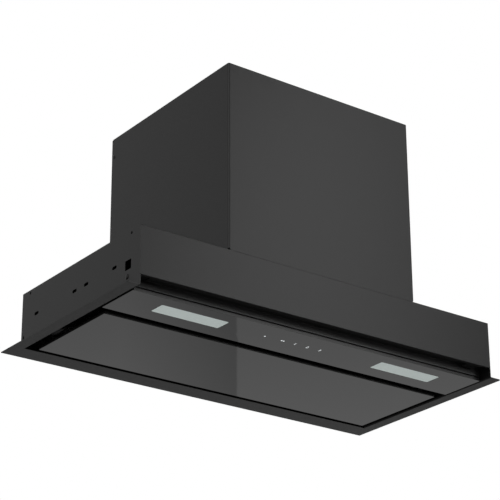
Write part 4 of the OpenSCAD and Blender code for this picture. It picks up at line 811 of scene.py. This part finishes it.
def expanded_mesh_tree():
    """Layers of zigzag strands that meet at their bends, with the latch's place left open."""
    sizes = ("Width", "Depth", "Centre X", "Centre Y", "Centre Z", "Bond Pitch", "Row Pitch", "Layer Step",
             "Strand Width", "Strand Thickness", "Latch Left", "Latch Right", "Latch Rear")
    tree, given = sized_tree("expanded_mesh", sizes)
    # One strand, with a point at each half bond, is laid on each row.
    half_bond = add(tree, "ShaderNodeMath", {0: given["Bond Pitch"], 1: 2.0}, operation="DIVIDE")
    step = add(tree, "ShaderNodeCombineXYZ",
               {"X": half_bond.outputs[0], "Y": given["Row Pitch"], "Z": given["Layer Step"]})
    area = add(tree, "ShaderNodeCombineXYZ", {"X": given["Width"], "Y": given["Depth"]})
    fits = add(tree, "ShaderNodeVectorMath", {0: area.outputs[0], 1: step.outputs[0]}, operation="DIVIDE")
    counts = add(tree, "ShaderNodeVectorMath", {0: fits.outputs[0]}, operation="FLOOR")
    along, rows_deep, _ = add(tree, "ShaderNodeSeparateXYZ", {0: counts.outputs[0]}).outputs
    step_x = add(tree, "ShaderNodeCombineXYZ", {"X": half_bond.outputs[0]})
    step_y = add(tree, "ShaderNodeCombineXYZ", {"Y": given["Row Pitch"]})
    strand = add(tree, "GeometryNodeMeshLine", {"Count": along, "Offset": step_x.outputs[0]})
    rows = add(tree, "GeometryNodeMeshLine", {"Count": rows_deep, "Offset": step_y.outputs[0]})
    laid = add(tree, "GeometryNodeInstanceOnPoints",
               {"Points": rows.outputs[0], "Instance": strand.outputs[0]})
    real = add(tree, "GeometryNodeRealizeInstances", {"Geometry": laid.outputs[0]})
    # Every other point swings forward, and the rest back, so that the strands touch at their bends.
    index = add(tree, "GeometryNodeInputIndex")
    inner = add(tree, "ShaderNodeMath", {0: index.outputs[0], 1: 0.5}, operation="ADD")
    rows_done = add(tree, "ShaderNodeMath", {0: inner.outputs[0], 1: along}, operation="DIVIDE")
    row = add(tree, "ShaderNodeMath", {0: rows_done.outputs[0]}, operation="FLOOR")
    row_start = add(tree, "ShaderNodeMath", {0: row.outputs[0], 1: along}, operation="MULTIPLY")
    column = add(tree, "ShaderNodeMath", {0: index.outputs[0], 1: row_start.outputs[0]}, operation="SUBTRACT")
    total = add(tree, "ShaderNodeMath", {0: row.outputs[0], 1: column.outputs[0]}, operation="ADD")
    odd = add(tree, "ShaderNodeMath", {0: total.outputs[0], 1: 2.0}, operation="FLOORED_MODULO")
    side = add(tree, "ShaderNodeMath", {0: odd.outputs[0], 1: 0.5}, operation="SUBTRACT")
    swing = add(tree, "ShaderNodeMath", {0: side.outputs[0], 1: given["Row Pitch"]}, operation="MULTIPLY")
    bend = add(tree, "ShaderNodeCombineXYZ", {"Y": swing.outputs[0]})
    bent = add(tree, "GeometryNodeSetPosition", {"Geometry": real.outputs[0], "Offset": bend.outputs[0]})
    # The layers are centred in the frame, each a little aside of the one below.
    centre = add(tree, "ShaderNodeCombineXYZ",
                 {"X": given["Centre X"], "Y": given["Centre Y"], "Z": given["Centre Z"]})
    gaps = add(tree, "ShaderNodeVectorMath", {0: counts.outputs[0], 1: (1.0, 1.0, 0.0)},
               operation="SUBTRACT")
    span = add(tree, "ShaderNodeVectorMath", {0: gaps.outputs[0], 1: step.outputs[0]}, operation="MULTIPLY")
    back = add(tree, "ShaderNodeVectorMath", {0: span.outputs[0], 1: (-0.5, -0.5, 0.0)},
               operation="MULTIPLY")
    start = add(tree, "ShaderNodeVectorMath", {0: centre.outputs[0], 1: back.outputs[0]}, operation="ADD")
    layers = []
    for layer in range(MESH_LAYERS):
        share = layer - (MESH_LAYERS - 1) / 2
        shift = add(tree, "ShaderNodeVectorMath",
                    {0: step.outputs[0], 1: (share * LAYER_SHIFT, share * LAYER_SHIFT, share)},
                    operation="MULTIPLY")
        place = add(tree, "ShaderNodeVectorMath", {0: start.outputs[0], 1: shift.outputs[0]},
                    operation="ADD")
        layers.append(add(tree, "GeometryNodeTransform",
                          {"Geometry": bent.outputs[0], "Translation": place.outputs[0]}).outputs[0])
    stack = add(tree, "GeometryNodeJoinGeometry", {"Geometry": layers})
    # The latch's place is cut out, and what is left becomes flat strands.
    position = add(tree, "GeometryNodeInputPosition")
    parts = add(tree, "ShaderNodeSeparateXYZ", {0: position.outputs[0]})
    after = add(tree, "ShaderNodeMath", {0: parts.outputs[0], 1: given["Latch Left"]},
                operation="GREATER_THAN")
    before = add(tree, "ShaderNodeMath", {0: parts.outputs[0], 1: given["Latch Right"]},
                 operation="LESS_THAN")
    ahead = add(tree, "ShaderNodeMath", {0: parts.outputs[1], 1: given["Latch Rear"]},
                operation="LESS_THAN")
    beside = add(tree, "ShaderNodeMath", {0: after.outputs[0], 1: before.outputs[0]}, operation="MULTIPLY")
    inside = add(tree, "ShaderNodeMath", {0: beside.outputs[0], 1: ahead.outputs[0]}, operation="MULTIPLY")
    open_mesh = add(tree, "GeometryNodeDeleteGeometry",
                    {"Geometry": stack.outputs[0], "Selection": inside.outputs[0]})
    lines = add(tree, "GeometryNodeMeshToCurve", {"Mesh": open_mesh.outputs[0]})
    section = add(tree, "GeometryNodeCurvePrimitiveQuadrilateral",
                  {"Width": given["Strand Width"], "Height": given["Strand Thickness"]})
    strands = add(tree, "GeometryNodeCurveToMesh",
                  {"Curve": lines.outputs[0], "Profile Curve": section.outputs[0], "Fill Caps": True})
    return end_tree(tree, strands.outputs[0], given["Material"])


# The frame gets a dark satin and the strands a duller, uneven black, both partly painted shade for the dark
# suction slots, and the moulded latch is a little smoother.
# Frame and mesh colours are partly painted shade for the suction slots.
lacquer = grained("black_lacquered_frame_and_shade", "#141415", LACQUER_GRAIN, roughness=0.4, spread=0.08)
mesh_lacquer_and_shade = grained("black_lacquered_mesh_and_shade", "#101011", LACQUER_GRAIN, roughness=0.42, spread=0.15)
black_acetal = grained("black_moulded_acetal", "#141414", MOULD_GRAIN, roughness=0.42)
mesh_tree = expanded_mesh_tree()
# The support takes the inner coat, whose darker black is partly painted shade.
rounded_piece("filter_support", SHEET_EDGE, [inner_coat_and_shade])
for side in ("left", "right"):
    rounded_piece(f"{side}_filter_frame", SHEET_EDGE, [lacquer])
    rounded_piece(f"{side}_filter_latch", SHEET_EDGE, [black_acetal])
    low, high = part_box(f"{side}_filter_mesh")
    latch_low, latch_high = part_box(f"{side}_filter_latch")
    centre = (low + high) / 2
    mesh_sizes = {
        "Width": high.x - low.x - BOND_PITCH, "Depth": high.y - low.y - 2 * ROW_PITCH,
        "Centre X": centre.x, "Centre Y": centre.y, "Centre Z": centre.z,
        "Bond Pitch": BOND_PITCH, "Row Pitch": ROW_PITCH, "Layer Step": (high.z - low.z) / MESH_LAYERS,
        "Strand Width": STRAND_W, "Strand Thickness": STRAND_T,
        "Latch Left": latch_low.x - LATCH_WALL, "Latch Right": latch_high.x + LATCH_WALL,
        "Latch Rear": low.y + LATCH_REACH}
    mesh_piece = grown_piece(f"{side}_expanded_mesh", bpy.data.meshes.new(f"{side}_expanded_mesh"),
                             mesh_tree, mesh_sizes, mesh_lacquer_and_shade)
    in_place_of(mesh_piece, f"{side}_filter_mesh")

# Motor box
# A tall box of the same black-coated sheet on the body's roof: a wrapped shell with two feet,
# a rear cover and a top.
for node in ("motor_box_shell", "motor_box_rear_cover", "motor_box_top"):
    rounded_piece(node, SHEET_EDGE, [body_coat])

# Screws of the motor box
# Black zinc-coated steel screws with a crowned head and a cross recess. They fix the shell's
# feet on the roof, and the top and the rear cover on the shell.
SCREW_SIZES = {"Crown": 0.35, "Recess Length": 1.15, "Recess Width": 0.26, "Recess Depth": 0.6}
box_screws = grown_piece("box_screws_with_recess", fastener_points("box_screws"), fasteners,
                         SCREW_SIZES, screw_black)
in_place_of(box_screws, "box_screws")

# Outlet
# A spigot of black moulded plastic for a 150 mm duct, satin with a fine grain. Two flaps hang
# on a steel rod in it and fall shut when the blower is off.
SPIGOT_EDGE = 0.0005
SPIGOT_GRAIN = 0.0006
spigot_plastic = grained("black_polypropylene", "#171718", SPIGOT_GRAIN, roughness=0.5)
rounded_piece("outlet_collar", SPIGOT_EDGE, [spigot_plastic])
rounded_piece("damper_rod", SHEET_EDGE, [bright_steel])
for node in ("left_flap", "right_flap"):
    rounded_piece(node, SHEET_EDGE, [spigot_plastic])

# Blower
# A scroll housing of two galvanised halves with spun inlet rings, round a double-inlet wheel
# on the shaft of a cast aluminium motor. The motor hangs in a bracket on rubber bushes.
CAST_GRAIN = 0.0012
# The sand of the mould gives the casting a dull, pitted grey.
cast_metal = grained("cast_aluminium", "#8A8C8E", CAST_GRAIN, roughness=0.5, metallic=0.9)
for node in ("scroll_left_half", "scroll_right_half", "inlet_rings", "impeller", "motor_bracket"):
    finish_node(node, zinc)
for node, material in (("motor_shaft", bright_steel), ("motor_bearings", bright_steel),
                       ("fan_motor", cast_metal), ("motor_bushes", black_rubber),
                       ("motor_lead", lead_sheath)):
    finish_node(node, material)
# Bright screws hold the spigot and the scroll on the box's top, and the bracket on the scroll.
blower_screws = grown_piece("blower_screws_with_recess", fastener_points("blower_screws"), fasteners,
                            SCREW_SIZES, bright_steel)
in_place_of(blower_screws, "blower_screws")

# Electrical pieces of the motor box
# A white run capacitor in a zinc-plated clip, a dark junction box with its lid, and the gland
# for the mains lead in the rear cover.
for node, material in (("run_capacitor", white_plastic), ("capacitor_clip", zinc),
                       ("junction_box", dark_plastic), ("junction_box_lid", dark_plastic)):
    finish_node(node, material)
rounded_piece("mains_gland", SPIGOT_EDGE, [black_acetal])
